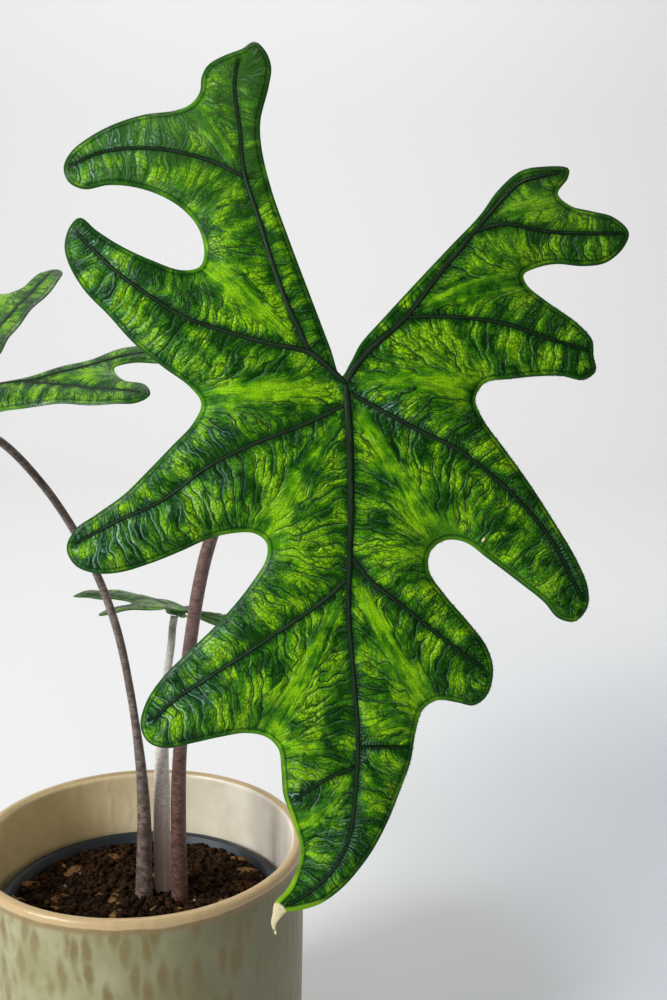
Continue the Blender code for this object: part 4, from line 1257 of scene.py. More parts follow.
print("front leaf:", len(FRONT_VEINS), "thick veins")


# %% [markdown]
# ## The front leaf's form
#
# The leaf hangs from its stalk like a shield and is not flat: lobes lean back and the end curls. It
# could be bent with a lattice, but a short sum of squares and one product of the place is as smooth
# and has only four numbers. The pose is where its joint is, the way to its posterior lobes, and the
# way that its face looks.

# %% Eye point, pose and form
EYE = np.array([-4.2, -39.6, 470.0])
FRONT_POSE = ((0.0869, -0.0756, 0.3352), (0, 0.2276, 0.9738), (0, -0.9738, 0.2276))


def front_place(x, y, height):
    """The leaf was drawn as seen from one eye point, so a point that is raised or lowered slides
    along its line of sight, and the drawing stays true."""
    flat = np.stack([x, y, np.zeros_like(x)], axis=1)
    return flat + (EYE - flat) * (height / EYE[2])[:, None]


def front_form(x, y):
    """The posterior lobes lean back, the right one most, the side lobes droop a little, and the
    end curls back: squares of the distance up, sideways and down, and right times up
    for the right lobe."""
    up, right, down = np.maximum(y, 0), np.maximum(x, 0), np.maximum(-y, 0)
    return -0.0022 * up**2 - 0.0033 * right * up - 0.0009 * x**2 - 0.0004 * down**2


# %% [markdown]
# ## Patches placed one by one
#
# A few patches make this leaf this one: bright panels, a bluish sheen of painted reflection that lies
# mostly on the left lobes, plain and lime stretches, combs of painted highlight ticks beside thick
# veins, and dry spots. Noise would put them anywhere, so each is a soft oval with a place of its own.
# The blade carries their sums as attributes, one number a point, and the leaf's finish reads those.

# %% The front leaf's bright patches
FRONT_GLOW = [                 # middle, half length, half width, turn in degrees, strength
    ((-37, 34), 16, 6, 128, 0.28), ((-22, 22), 10, 5, 110, 0.35), ((-25, -2.5), 22, 3.2, 0, 0.34),
    ((-22, -42), 11, 4, -65, 0.4), ((-15, -56), 11, 5, 25, 0.4), ((-14, -102), 20, 6, -75, 0.4),
    ((8, -23), 9, 3.5, -75, 0.4), ((22, -44), 9, 4, -40, 0.4), ((14, -56), 11, 3.5, -10, 0.45),
    ((12, -78), 9, 3, -60, 0.35), ((15, -101), 17, 6, -75, 0.12), ((32, 8), 14, 6, -35, 0.4),
    ((51.5, -51.6), 3.0, 0.9, 15, 1.1), ((74, 52), 26, 14, 5, 0.18), ((36, 34), 16, 8, 48, 0.12),
    ((-16, -98), 34, 9, -80, 0.08), ((-50, -96), 22, 10, 38, 0.08)]


# %% The front leaf's painted bluish sheen
FRONT_SHEEN = [
    ((-76, 82), 22, 5, 2, 1.0), ((-82, 72), 12, 5, 10, 0.6), ((-83, 44), 15, 5, 138, 1.0),
    ((-76, 20), 22, 6, 140, 0.5), ((-80, -53), 18, 7, 28, 0.9), ((-52, -22), 20, 4, 32, 0.6),
    ((-50, -38), 12, 6, 30, 0.5), ((-58, -110), 16, 7, 38, 0.9), ((-44, -86), 16, 4, 38, 0.6),
    ((-18, -137), 8, 6, 0, 0.8), ((14, -9), 12, 3, -30, 0.8), ((-5, -155), 14, 4, 60, 0.5)]


# %% Plain stretches, lime edges, the ticks of painted highlight and dry spots
FRONT_PLAIN = [((54, -64), 30, 2.6, -37, 1.3), ((30, -56), 5, 6, 0, 1.0),
               ((-25.5, -54), 5, 6, 0, 0.6), ((24.5, -116), 8, 3, 70, 0.8),
               ((-40, -51.5), 14, 1.6, -12, 0.8)]
FRONT_LIME = [((-18, -145), 26, 3, 98, 0.75), ((-19, -170), 9, 4, 125, 0.9),
              ((-12, -178), 10, 3, 14, 1.1), ((-24, -176), 4, 4, 0, 0.9)]
# Where ticks of painted highlight lie beside thick veins.
FRONT_TICK_HIGHLIGHTS = [((7.5, -118), 44, 3.2, 90, 0.6), ((1, -158), 14, 3, 58, 0.5),
              ((73, -57), 17, 3, -60, 0.35)]
FRONT_DRY = [((-24.6, -182.4), 6.6, 4.6, 75, 1.0), ((46.5, -53), 1.1, 0.6, 60, 0.75)]
print("placed by eye:", len(FRONT_GLOW), "bright patches and", len(FRONT_SHEEN), "spots of sheen")


# %% Make the front leaf
front = leaf_layout(FRONT_OUTLINE, FRONT_VEINS, FRONT_ROOTS, front_form, front_place, 0.78, 11)
front_turn = leaf_turn(*FRONT_POSE)
front_skin = blade_finish("front_leaf_skin", 0.24)
vein_look = rib_finish()
front_blade = blade("front_blade", front, front_turn, front_skin, glow=FRONT_GLOW, sheen=FRONT_SHEEN,
                    plain=FRONT_PLAIN, lime=FRONT_LIME, comb=FRONT_TICK_HIGHLIGHTS, dry=FRONT_DRY)
front_ribs = leaf_ribs("front_veins", front, front_turn, FRONT_WIDTHS, vein_look)
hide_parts("blade_front")
for piece in (front_blade, front_ribs):
    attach(piece, "root")

# %% [markdown]
# ## Hairs along the right margins
#
# The right hand margins look finely toothed, because short hairs stand on them. A particle system
# could grow them, but arrays give the same hairs every time. Each hair is a three sided cone, so
# hundreds of them cost little.

# %% A fringe of hairs
HAIRS = 700
HAIR_RADIUS = 0.11
HAIR_LENGTH = (0.45, 1.05)
HAIR_SPREAD = 0.45             # how far their directions scatter
HAIR_DEEP = (0.02, 0.07, 0.02)
HAIR_PALE = (0.16, 0.24, 0.14)


def copies_of(faces, count, points_each):
    """The faces of many copies of one shape, whose points follow each other."""
    return (faces[None] + np.arange(count)[:, None, None] * points_each).reshape(-1, 3)


def fringe(name, layout, turn, count, seed, look):
    """Cones from the margin outward: base + radius * (cos * side + sin * up) and a tip at base +
    length * out. Their places are random along the leaf's right margins, but for its upper lobes."""
    random = np.random.default_rng(seed)
    outline = layout["outline"]
    ahead = np.roll(outline, -1, axis=0) - outline
    hairy = np.flatnonzero((outline[:, 0] > 14) & (outline[:, 1] < 25) & (ahead[:, 1] > -0.1))
    rows = random.choice(hairy, count)
    base = outline[rows] + random.uniform(0, 1, (count, 1)) * ahead[rows]
    out = unit(np.stack([ahead[rows, 1], -ahead[rows, 0], np.zeros(count)], axis=1))
    out = unit(out + random.normal(0, HAIR_SPREAD, (count, 3)))
    up = unit(np.cross(out, np.roll(out, 1, axis=1)))
    side = np.cross(up, out)
    centre = read(layout, "middle", base - 0.15 * out[:, :2])
    turns = np.arange(3) * math.tau / 3
    ring = HAIR_RADIUS * (np.cos(turns)[:, None] * side[:, None] + np.sin(turns)[:, None] * up[:, None])
    tip = centre + out * random.uniform(*HAIR_LENGTH, (count, 1))
    points = np.concatenate([centre[:, None] + ring, tip[:, None]], axis=1).reshape(-1, 3)
    faces = np.array([(0, 2, 1), (0, 1, 3), (1, 2, 3), (2, 0, 3)])
    return mesh_piece(name, turn(points), [copies_of(faces, count, 4)], look)


# %% The hairs' finish
def hair_finish():
    """Pale to deep green hairs, each of its own tone."""
    made, tree, shader = new_material("margin_hairs", 0.6, 0.2)
    tone = noise(object_place(tree), 900.0, 1.0)
    plug(blend(fade(tone, 0.4, 0.65), HAIR_DEEP, HAIR_PALE), shader["Base Color"])
    return made


front_hairs = fringe("front_margin_hairs", front, front_turn, HAIRS, 61, hair_finish())
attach(front_hairs, "root")

# %% [markdown]
# ## The other two leaves
#
# The left leaf lies nearly flat and is seen from its edge, and the small back leaf is younger. Both
# are drawn with a shorter recipe: each lobe is an axis with a half width and the length of its free
# end, followed by the points of the bay after it. The same functions as before make their sheets.

# %% A leaf from its lobes
LOBE_SHOULDER = 0.55           # where a lobe starts to narrow, as a share from its tip
LOBE_NOSE = 0.16               # and a place nearer the tip
LOBE_NOSE_WIDTH = 0.72         # the lobe's width there


def lobed_outline(lobes):
    """The outline of a leaf, anticlockwise from its cleft. Each lobe gives where its axis starts
    and ends, its half width, its free length, and the points of the bay that follows it."""
    outline = []
    for root, tip, half, free, bay in lobes:
        root, tip = np.array(root, float), np.array(tip, float)
        axis = (tip - root) / np.linalg.norm(tip - root)
        side = half * np.array([axis[1], -axis[0]])
        shoulder, nose = tip - LOBE_SHOULDER * free * axis, tip - LOBE_NOSE * free * axis
        outline += [shoulder + side, nose + LOBE_NOSE_WIDTH * side, tip]
        outline += [nose - LOBE_NOSE_WIDTH * side, shoulder - side]
        outline += [np.array(point, float) for point in bay]
    return outline


def flat_place(x, y, height):
    """Points of a leaf that is drawn in its own plane."""
    return np.stack([x, y, height], axis=1)


# %% The left leaf
LEFT_LOBES = [
    ((-22, 30), (-63.5, 77), 9.5, 30, [(-62, 51)]),
    ((-22, 36), (-84, 40), 9.5, 30, [(-45, 21)]),
    ((0, -4), (-82, -6), 11, 34, [(-38, -32)]),
    ((0, -45), (-60, -84), 10.5, 32, [(-20, -92)]),
    ((0, -60), (2, -150), 13, 52, [(21, -90)]),
    ((0, -42), (58, -80), 10.5, 32, [(37, -30)]),
    ((0, -4), (72, -5), 11, 30, [(34, 14), (38.5, 28), (47.5, 40.5)]),
    ((33, 38), (67, 71), 7, 24, [(41.8, 66.5), (44.5, 74)]),
    ((36, 66), (54, 101), 7, 20, [
        (32, 75), (28, 58), (22.5, 42), (18.5, 28), (9, 11), (0.5, 3), (-0.5, 14), (-5, 30),
        (-17, 41), (-31, 54.5)])]
LEFT_VEINS = [
    vein([(0, 0), (0.5, -45), (0, -90), (2, -144)], MIDRIB),
    vein([(0, 0), (-10, 17), (-22, 33), (-40, 53), (-60, 74.5)], COSTA),
    vein([(-22, 33), (-50, 37), (-80, 40)], SIDE, 1),
    vein([(0, -4), (-40, -4), (-78, -6)], SIDE, 0),
    vein([(0, -45), (-30, -66), (-57, -82)], SIDE, 0),
    vein([(0, -42), (30, -62), (55, -78)], SIDE, 0),
    vein([(0, -4), (36, -4), (68, -5)], SIDE, 0),
    vein([(23, 33), (44, 50), (64, 68)], SIDE, 8),
    vein([(0, 0), (11, 14), (23, 33), (30, 48), (35.5, 65), (43, 82), (51, 96)], COSTA)]
LEFT_ROOTS = [8, 0, 1]
LEFT_WIDTHS = [(1.4, 0.5), (1.2, 0.4), *[(0.8, 0.3)] * 6, (1.2, 0.4)]
LEFT_POSE = ((-0.081, 0.015, 0.318), (0.858, 0.350, 0.376), (-0.213, -0.424, 0.880))


def left_form(x, y):
    """The left leaf arches down to its end and along both sides."""
    return -0.0016 * np.maximum(-y, 0)**2 - 0.0008 * x**2


# %% The back leaf
BACK_LOBES = [
    ((-5, 10), (-21, 37), 7, 20, [(-21, 15)]),
    ((-3, 4), (-45, 7), 6.5, 22, [(-18, -13)]),
    ((0, -22), (-34, -43), 6, 20, [(-10.5, -46)]),
    ((0, -30), (1, -84), 8, 30, [(10.5, -46)]),
    ((0, -22), (27, -37), 6, 16, [(16.5, -12)]),
    ((3, 4), (44, 9), 6.5, 22, [(21, 16)]),
    ((5, 10), (20, 38), 7, 20, [(6, 16), (0, 3), (-6, 16)])]
BACK_VEINS = [
    vein([(0, 0), (0, -40), (1, -80)], SIDE),
    vein([(0, 0), (-11, 17), (-20, 34)], SIDE),
    vein([(-2, 3), (-22, 6), (-42, 7)], SMALL, 1),
    vein([(0, -22), (-17, -34), (-32, -41.5)], SMALL, 0),
    vein([(0, -22), (14, -30.5), (25, -36)], SMALL, 0),
    vein([(2, 3), (22, 7), (41, 9)], SMALL, 6),
    vein([(0, 0), (11, 17), (19, 35)], SIDE)]
BACK_ROOTS = [6, 0, 1]
BACK_WIDTHS = [(0.9, 0.35), (0.7, 0.3), *[(0.45, 0.25)] * 4, (0.7, 0.3)]
BACK_POSE = ((0.011, 0.060, 0.212), (0.68, -0.75, 0.20), (0.20, 0.30, 0.93))


def back_form(x, y):
    """The back leaf rises from its joint, arches over to its end and droops to both sides."""
    down = np.maximum(-y, 0)
    return 0.22 * down - 0.0022 * down**2 - 0.0045 * x**2


# %% Make the left and the back leaf
other_skin = blade_finish("other_leaf_skin", 0.36, 0.12, 0.22)
for side, lobes, veins, roots, widths, form, pose, step, seed in (
        ("left", LEFT_LOBES, LEFT_VEINS, LEFT_ROOTS, LEFT_WIDTHS, left_form, LEFT_POSE, 0.95, 23),
        ("back", BACK_LOBES, BACK_VEINS, BACK_ROOTS, BACK_WIDTHS, back_form, BACK_POSE, 0.7, 31)):
    layout = leaf_layout(lobed_outline(lobes), veins, roots, form, flat_place, step, seed)
    other_blade = blade(side + "_blade", layout, leaf_turn(*pose), other_skin)
    other_ribs = leaf_ribs(side + "_veins", layout, leaf_turn(*pose), widths, vein_look)
    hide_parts("blade_" + side)
    for piece in (other_blade, other_ribs):
        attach(piece, "root")

# %% [markdown]
# ## Stalks
#
# A petiole is a firm round stalk. It stands up out of the soil, arches outward and meets the blade
# square to its underside. Its foot is thicker, because it wraps the next stalk like a sheath. Each is
# a tube along a smooth route. Its radius is even at the foot, shrinks up to the sheath's end, and
# little or not at all from there to the blade. Its skin is mottled along its length.

# %% One stalk
SOIL_EDGE = 0.0985             # the soil's height at the nursery pot's wall
SOIL_MOUND = 0.0035            # how much higher it lies in the middle
HOLE_DEPTH = 0.022             # how deep the stalks stand in it
NECK, LEAD = 0.004, 0.005      # how far a stalk runs straight above the soil and at its end
JOINT_STOP = 0.0032            # where it stops under the blade's middle surface
FOOT_RADIUS = 0.0036
STALK_STEP = 0.0015
STALK_SIDES = 28


def stalk(name, base, route, pose, sheath, radii, look):
    """A tube from the bottom of its hole, straight up to just above the soil, along the route, and
    straight into the blade. The radii are at the foot, after the sheath and at the end."""
    normal = leaf_axes(*pose[1:])[2]
    end = np.array(pose[0]) - normal * JOINT_STOP
    foot = np.array([*base, SOIL_EDGE + SOIL_MOUND - HOLE_DEPTH])
    neck = np.array([*base, SOIL_EDGE + SOIL_MOUND + NECK])
    points = [foot, neck, *[np.array(point) * MM for point in route], end - LEAD * normal, end]
    path = resample(spline(points), STALK_STEP)
    path[path[:, 2] < neck[2], :2] = base
    forward = np.gradient(path, axis=0)
    forward[0], forward[-1] = (0, 0, 1), normal
    forward = unit(forward)
    lift = unit(np.cross(forward, (1, 0, 0)))
    along = marks_along(path)
    radius = np.interp(along, [HOLE_DEPTH + sheath[0], HOLE_DEPTH + sheath[1], along[-1]], radii)
    radius = radius * (1 + 0.02 * soft_noise(along, 0 * along, 0.011, len(name)))
    points, walls, fans, place = tube(path, np.cross(lift, forward), lift, radius, radius, STALK_SIDES)
    print(name, "is", round(along[-1] / MM), "mm long")
    return mesh_piece(name, points, [walls, fans], look, maps={"along": place * (1, 1 / MM)})


# %% [markdown]
# ## The stalks' skin
#
# The stalks are mottled: small dark flecks on a ground with paler blotches. Both come from noise on
# the stalk's own place in metres, at two scales, so nothing has to be unwrapped and nothing repeats.
# The palest stalk has a pinkish foot, which is faded in by height. The three share one function.

# %% Stalk finishes
def stalk_finish(name, colour, dark, pale, foot=None):
    """Small dark flecks on a ground that changes slowly. A foot gives a colour of its own to the
    stalk's lower part, and the two heights between which it fades."""
    made, tree, shader = new_material(name, 0.42)
    place = object_place(tree)
    blotches = noise(place, (220, 220, 420), 3.0, 0.6)
    flecks = noise(place, (500, 500, 1100), 2.0, 0.55)
    ground = blend(fade(blotches, 0.38, 0.62), colour, pale)
    if foot:
        foot_colour, low, high = foot
        ground = blend(fade(split(place)[2], low, high, 0.9, 0.0), ground, foot_colour)
    ground = blend(fade(flecks, 0.46, 0.64, 0.0, 0.6), ground, dark)
    skin(shader, ground, flecks, 0.35, 0.0003)
    return made


# %% The three stalks
SHEATH_PINK = (0.46, 0.33, 0.33)
STALK_LOOKS = {                # ground, dark flecks and pale blotches
    "stalk_red": stalk_finish(
        "stalk_red_brown", (0.105, 0.048, 0.037), (0.035, 0.015, 0.012), (0.19, 0.10, 0.085)),
    "stalk_dark": stalk_finish(
        "stalk_grey_brown", (0.115, 0.078, 0.062), (0.03, 0.02, 0.016), (0.23, 0.17, 0.15)),
    "stalk_pale": stalk_finish(
        "stalk_pale", (0.70, 0.64, 0.58), (0.50, 0.38, 0.35), (0.80, 0.76, 0.71),
        (SHEATH_PINK, 0.112, 0.150))}
STALKS = (                     # side, finish, foot, route in millimetres, leaf, sheath, radii
    ("front", "stalk_red", (0.0168, -0.001),
     [(18.3, -4, 162), (25.1, -13, 220), (34.4, -22, 264), (52, -41, 305), (72, -58, 328)],
     FRONT_POSE, (0.008, 0.080), (FOOT_RADIUS, 0.0028, 0.0024)),
    ("left", "stalk_dark", (0.0015, 0),
     [(2.4, 0.5, 136), (1.5, 1.8, 162), (-2.2, 4, 194.5), (-7.1, 6.5, 220), (-14.9, 9, 243),
      (-24.3, 11, 262), (-37, 13, 281), (-53.2, 14.5, 298)],
     LEFT_POSE, (0.008, 0.080), (FOOT_RADIUS, 0.0017, 0.0017)),
    ("back", "stalk_pale", (0.0088, 0.0064),
     [(9, 8, 140), (9.2, 14, 165), (9.6, 30, 187), (10.2, 48, 200)],
     BACK_POSE, (0.045, 0.085), (FOOT_RADIUS, 0.0018, 0.0017)))
for side, finish, *shape in STALKS:
    piece = stalk(side + "_stalk", *shape, STALK_LOOKS[finish])
    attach(piece, "root")
    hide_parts("petiole_" + side)

# %% [markdown]
# ## Pots
#
# Both pots are round, so a profile of a few points carried round an upright axis gives the whole
# form, with the wall's thickness. The outer pot is thrown clay with a satin glaze and a bare tan
# rim. The nursery pot inside it is thin moulded plastic with a lip.

# %% A turned surface
ROUND = 240                    # points round a pot
PROFILE_STEP = 0.0012


def turned(name, profile, look):
    """A profile from the axis below, up the outside and back to the axis above, carried round Z:
    x = r cos, y = r sin, z."""
    profile = np.array(profile)
    turns = np.arange(ROUND) * math.tau / ROUND
    r, z = profile[1:-1].T
    rings = np.stack([r[:, None] * np.cos(turns), r[:, None] * np.sin(turns),
                      z[:, None] + 0 * turns], axis=-1).reshape(-1, 3)
    points = np.vstack([rings, [(0, 0, profile[0, 1]), (0, 0, profile[-1, 1])]])
    return mesh_piece(name, points, stacked_rings(len(r), ROUND), look)


# %% The outer pot's profile
POT_RADIUS, POT_HEIGHT, POT_WALL, POT_FLOOR, POT_BASE = 0.070, 0.130, 0.005, 0.007, 0.060
POT_INNER = POT_RADIUS - POT_WALL
half_wall = POT_WALL / 2
half_turn = np.linspace(0, math.pi, 17)
rim = np.stack([POT_RADIUS - half_wall + half_wall * np.cos(half_turn),
                POT_HEIGHT - half_wall + half_wall * np.sin(half_turn)], axis=1)
outside = resample(spline([
    (POT_BASE, 0.0008), (POT_BASE + 0.004, 0.005), (POT_RADIUS - 0.0035, 0.014),
    (POT_RADIUS - 0.0017, 0.040), (POT_RADIUS - 0.0006, 0.085), tuple(rim[0])]), PROFILE_STEP)
within = resample(spline([
    tuple(rim[-1]), (POT_INNER - 0.0006, 0.085), (POT_INNER - 0.002, 0.040),
    (POT_INNER - 0.005, 0.017), (POT_INNER - 0.010, POT_FLOOR + 0.002),
    (POT_INNER - 0.015, POT_FLOOR)]), PROFILE_STEP)
pot_profile = np.vstack([
    [(0, 0), (POT_BASE - 0.002, 0)], outside, rim[1:-1], within, [(0, POT_FLOOR)]])
print("outer pot's profile:", len(pot_profile), "points,", POT_HEIGHT, "m tall")

# %% [markdown]
# ## The glaze
#
# The outer pot has a sage glaze with short brown runs that are taller than they are wide, a bare tan
# rim, and inside a wash over the clay. Stripes of noise would run on without an end. Voronoi cells
# that are stretched upright have a top and a bottom, as the runs do, and noise bends their sides. The
# rim and the wash are set by height and by distance from the axis. Light and shade are painted on from
# left to right: painted shade darkens the glaze to the right, and inside, the wash is ochre in
# painted shade on the left and buff in painted light on the right.

# %% The glaze's colours and runs
# The shaded sage is painted shade on the glaze's right side.
SAGE, PALE_SAGE, SHADED_SAGE = (0.285, 0.265, 0.118), (0.40, 0.380, 0.220), (0.112, 0.102, 0.034)
BROWN_RUN = (0.185, 0.132, 0.036)
RIM_BROWN, RIM_TAN = (0.26, 0.165, 0.06), (0.54, 0.38, 0.19)
# The inner wash is ochre in painted shade on the left and buff in painted light on the right.
SHADED_OCHRE_WASH, LIT_BUFF_WASH, WASH_STAIN = (0.93, 0.72, 0.38), (0.94, 0.86, 0.74), (0.50, 0.36, 0.17)


def brown_runs(place):
    """Tall, soft Voronoi cells, bent by noise: 1 in the middle of a run and 0 between the runs."""
    wave = put(place.tree, "TexNoise", {"Vector": place, "Scale": 130.0}, "Color")
    wavy = put(place.tree, "VectorMath", {0: wave, 1: (0.004, 0.004, 0.004), 2: place},
               operation="MULTIPLY_ADD")
    cells = put(place.tree, "TexVoronoi", {"Vector": stretched(wavy, 190, 190, 52), "Scale": 1.0,
                                           "Randomness": 0.75}, "Distance")
    return fade(cells, 0.18, 0.58, 1.0, 0.0)


# %% The outer pot
def glaze_finish():
    """Sage glaze with brown runs, darker on the right with painted shade, a bare tan rim, and inside a
    wash that goes from ochre in painted shade on the left to pale buff in painted light on the right."""
    made, tree, shader = new_material("sage_glaze_drips", 0.34)
    place = object_place(tree)
    x, y, z = split(place)
    reach = calc("SQRT", x * x + y * y)
    cloud = noise(place, 45.0, 3.0, 0.6)
    runs = brown_runs(place)
    ground = blend(fade(cloud, 0.3, 0.7), SAGE, PALE_SAGE)
    # Painted shade: the glaze darkens to the right.
    ground = blend(fade(x, -0.035, 0.06) * 0.75, ground, SHADED_SAGE)
    ground = blend(runs * fade(cloud, 0.3, 0.6, 0.45, 0.95), ground, BROWN_RUN)
    rim_place = z + (cloud - 0.5) * 0.003
    ground = blend(fade(rim_place, 0.1235, 0.1252, 0.0, 0.8), ground, RIM_BROWN)
    ground = blend(fade(rim_place, 0.1262, 0.1270), ground, RIM_TAN)
    # Painted shade and light inside: ochre on the left, pale buff on the right.
    wash = blend(fade(x, -0.05, 0.055), SHADED_OCHRE_WASH, LIT_BUFF_WASH)
    wash = blend(fade(cloud, 0.35, 0.75, 0.0, 0.35), wash, WASH_STAIN)
    inner_wall = fade(reach, POT_INNER + 0.0012, POT_INNER + 0.0004) * fade(z, 0.018, 0.022)
    ground = blend(inner_wall, ground, wash)
    skin(shader, ground, calc("MULTIPLY_ADD", runs, 0.6, cloud), 0.3, 0.0008)
    return made


outer_pot = turned("glazed_pot", pot_profile, glaze_finish())

# %% [markdown]
# ## The nursery pot
#
# The thin dark pot that the plant grew up in stands loose in the outer pot, and only its lip shows
# above the soil. A cone with Solidify would do for the wall, but its lip would need cutting. A profile
# holds wall, lip and floor at once. The plastic is dull and a little dusty, from two scales of noise.

# %% The nursery pot's profile
GAP = 0.0003
NURSERY_TOP, NURSERY_TOP_RADIUS, NURSERY_BASE, NURSERY_WALL = 0.1025, 0.0585, 0.044, 0.0014
LIP_REACH, LIP_DEPTH, LIP_ROUND = 0.0026, 0.005, 0.0012
floor_height = POT_FLOOR + GAP
slope = (NURSERY_TOP_RADIUS - NURSERY_BASE) / (NURSERY_TOP - floor_height)


def nursery_inner(z):
    """Radius of the nursery pot's inner wall at a height."""
    return NURSERY_BASE - NURSERY_WALL + slope * (z - floor_height)


lip_out, under_lip = NURSERY_TOP_RADIUS + LIP_REACH, NURSERY_TOP - LIP_DEPTH
quarter_turn = np.linspace(0, math.pi / 2, 6)
lip_edge = np.stack([lip_out - LIP_ROUND + LIP_ROUND * np.cos(quarter_turn),
                     NURSERY_TOP - LIP_ROUND + LIP_ROUND * np.sin(quarter_turn)], axis=1)
nursery_profile = [
    (0, floor_height), (NURSERY_BASE - 0.001, floor_height), (NURSERY_BASE, floor_height + 0.001),
    (nursery_inner(under_lip) + NURSERY_WALL, under_lip), (lip_out - 0.0006, under_lip),
    (lip_out, under_lip + 0.0006), *lip_edge, (nursery_inner(NURSERY_TOP) + 0.0006, NURSERY_TOP),
    (nursery_inner(NURSERY_TOP), NURSERY_TOP - 0.0006),
    (nursery_inner(floor_height + NURSERY_WALL), floor_height + NURSERY_WALL),
    (0, floor_height + NURSERY_WALL)]
print("nursery pot's wall leans", round(math.degrees(math.atan(slope)), 1), "degrees")

# %% The nursery pot
SLATE, DUSTY_SLATE = (0.013, 0.018, 0.027), (0.035, 0.042, 0.050)


def plastic_finish():
    """Dark slate plastic with a dull, faintly grained skin."""
    made, tree, shader = new_material("slate_plastic_dull", 0.5)
    place = object_place(tree)
    grain = noise(place, 900.0)
    dust = noise(place, 60.0, 3.0, 0.6)
    skin(shader, blend(fade(dust, 0.45, 0.75), SLATE, DUSTY_SLATE), grain, 0.25, 0.0002)
    return made


nursery = turned("plastic_nursery_pot", nursery_profile, plastic_finish())

# %% [markdown]
# ## Soil
#
# Potting soil is a bed of dark crumbs with chips of bark and a few grey bits of grit. Bumps in the
# material alone would look flat from the side, so the bed itself is a low mound with lumps, made by
# adding smooth noise to the height of a turned body's top. It ends just inside the nursery pot's wall.

# %% The bed
def bed_height(x, y):
    """Height of the soil: a mound, and three sizes of lumps that are lower by the wall."""
    reach = np.hypot(x, y) / NURSERY_TOP_RADIUS
    lumps = (0.0009 * soft_noise(x, y, 0.008, 5) + 0.0006 * soft_noise(x, y, 0.0035, 6)
             + 0.0003 * soft_noise(x, y, 0.0016, 7))
    return SOIL_EDGE + SOIL_MOUND * (1 - reach**2) + lumps * np.clip((1 - reach) * 7, 0.25, 1)


def soil_bed(look):
    """The bed as a turned body whose top rings are lifted to the bed's height."""
    bottom = floor_height + NURSERY_WALL + GAP
    wall = np.linspace(bottom, SOIL_EDGE, 12)
    radii = [nursery_inner(z) - GAP for z in wall]
    top = np.linspace(radii[-1], 0.0006, 80)[1:]
    profile = [(0, bottom), *zip(radii, wall), *[(r, SOIL_EDGE) for r in top], (0, SOIL_EDGE)]
    body = turned("soil_bed", profile, look)
    points = np.empty(len(body.data.vertices) * 3, np.float32)
    body.data.vertices.foreach_get("co", points)
    points = points.reshape(-1, 3)
    on_top = points[:, 2] > SOIL_EDGE - 1e-6
    points[on_top, 2] = bed_height(points[on_top, 0], points[on_top, 1])
    body.data.vertices.foreach_set("co", points.ravel())
    body.data.update()
    return body


print("soil in the middle at", round(float(bed_height(0, 0)), 4), "m")


# %% The soil's finish
def soil_finish(name, low, high, roughness=0.95):
    """Rough, dull crumbs between two colours."""
    made, tree, shader = new_material(name, roughness, 0.08)
    place = object_place(tree)
    grain = noise(place, 700.0, 4.0, 0.65)
    cloud = noise(place, 160.0)
    skin(shader, blend(fade(grain * 0.6 + cloud * 0.4, 0.35, 0.68), low, high), grain, 0.8, 0.0008)
    return made


# %% [markdown]
# ## Crumbs, chips and grit
#
# Loose pieces lie on the bed: many crumbs, some flat chips of bark and a few bits of grit. Thousands
# of objects would be slow and hard to hand on. One ball of twenty faces is copied by arithmetic
# instead, to every place with its own turn, size and dents, and each kind becomes a single piece.

# %% A ball and its turns
def ball():
    """The 12 points and 20 faces of an icosahedron."""
    golden = (1 + math.sqrt(5)) / 2
    points = np.array([(-1, golden, 0), (1, golden, 0), (-1, -golden, 0), (1, -golden, 0),
                       (0, -1, golden), (0, 1, golden), (0, -1, -golden), (0, 1, -golden),
                       (golden, 0, -1), (golden, 0, 1), (-golden, 0, -1), (-golden, 0, 1)])
    faces = np.array([(0, 11, 5), (0, 5, 1), (0, 1, 7), (0, 7, 10), (0, 10, 11), (1, 5, 9),
                      (5, 11, 4), (11, 10, 2), (10, 7, 6), (7, 1, 8), (3, 9, 4), (3, 4, 2),
                      (3, 2, 6), (3, 6, 8), (3, 8, 9), (4, 9, 5), (2, 4, 11), (6, 2, 10),
                      (8, 6, 7), (9, 8, 1)])
    return points / np.linalg.norm(points, axis=1)[:, None], faces


def turns_of(count, tilt, random):
    """Random turns as matrices: any heading, and a tilt up to the given angle."""
    heading, lean = random.uniform(0, math.tau, count), random.uniform(-tilt, tilt, count)
    c, s, u, v = np.cos(heading), np.sin(heading), np.cos(lean), np.sin(lean)
    zero = 0 * c
    about_z = np.stack([c, -s, zero, s, c, zero, zero, zero, 1 + zero], axis=1).reshape(-1, 3, 3)
    about_x = np.stack([1 + zero, zero, zero, zero, u, -v, zero, v, u], axis=1).reshape(-1, 3, 3)
    return about_z @ about_x


# %% Stones all over the bed
STONE_REACH = 0.055            # how far from the axis stones lie
STONE_SINK = 0.2               # the share of a stone's height that is sunk, added to its lower half


def scatter(name, count, size, shape, tilt, seed, look):
    """Rough stones on the bed. Each is the ball with its points pushed in or out, stretched by the
    shape, turned, and partly sunk. Places are even over the disc."""
    random = np.random.default_rng(seed)
    base, faces = ball()
    reach = STONE_REACH * np.sqrt(random.uniform(0, 1, count))
    angle = random.uniform(0, math.tau, count)
    x, y = reach * np.cos(angle), reach * np.sin(angle)
    scale = random.uniform(*size, count)[:, None] * random.uniform(0.7, 1.3, (count, 3)) * shape
    rough = base[None] * random.uniform(0.72, 1.25, (count, len(base), 1))
    stones = np.einsum("nij,nkj->nki", turns_of(count, tilt, random), rough * scale[:, None])
    centre = np.stack([x, y, bed_height(x, y) + (0.5 - STONE_SINK) * scale[:, 2]], axis=1)
    points = (stones + centre[:, None]).reshape(-1, 3)
    return mesh_piece(name, points, [copies_of(faces, count, len(base))], look)


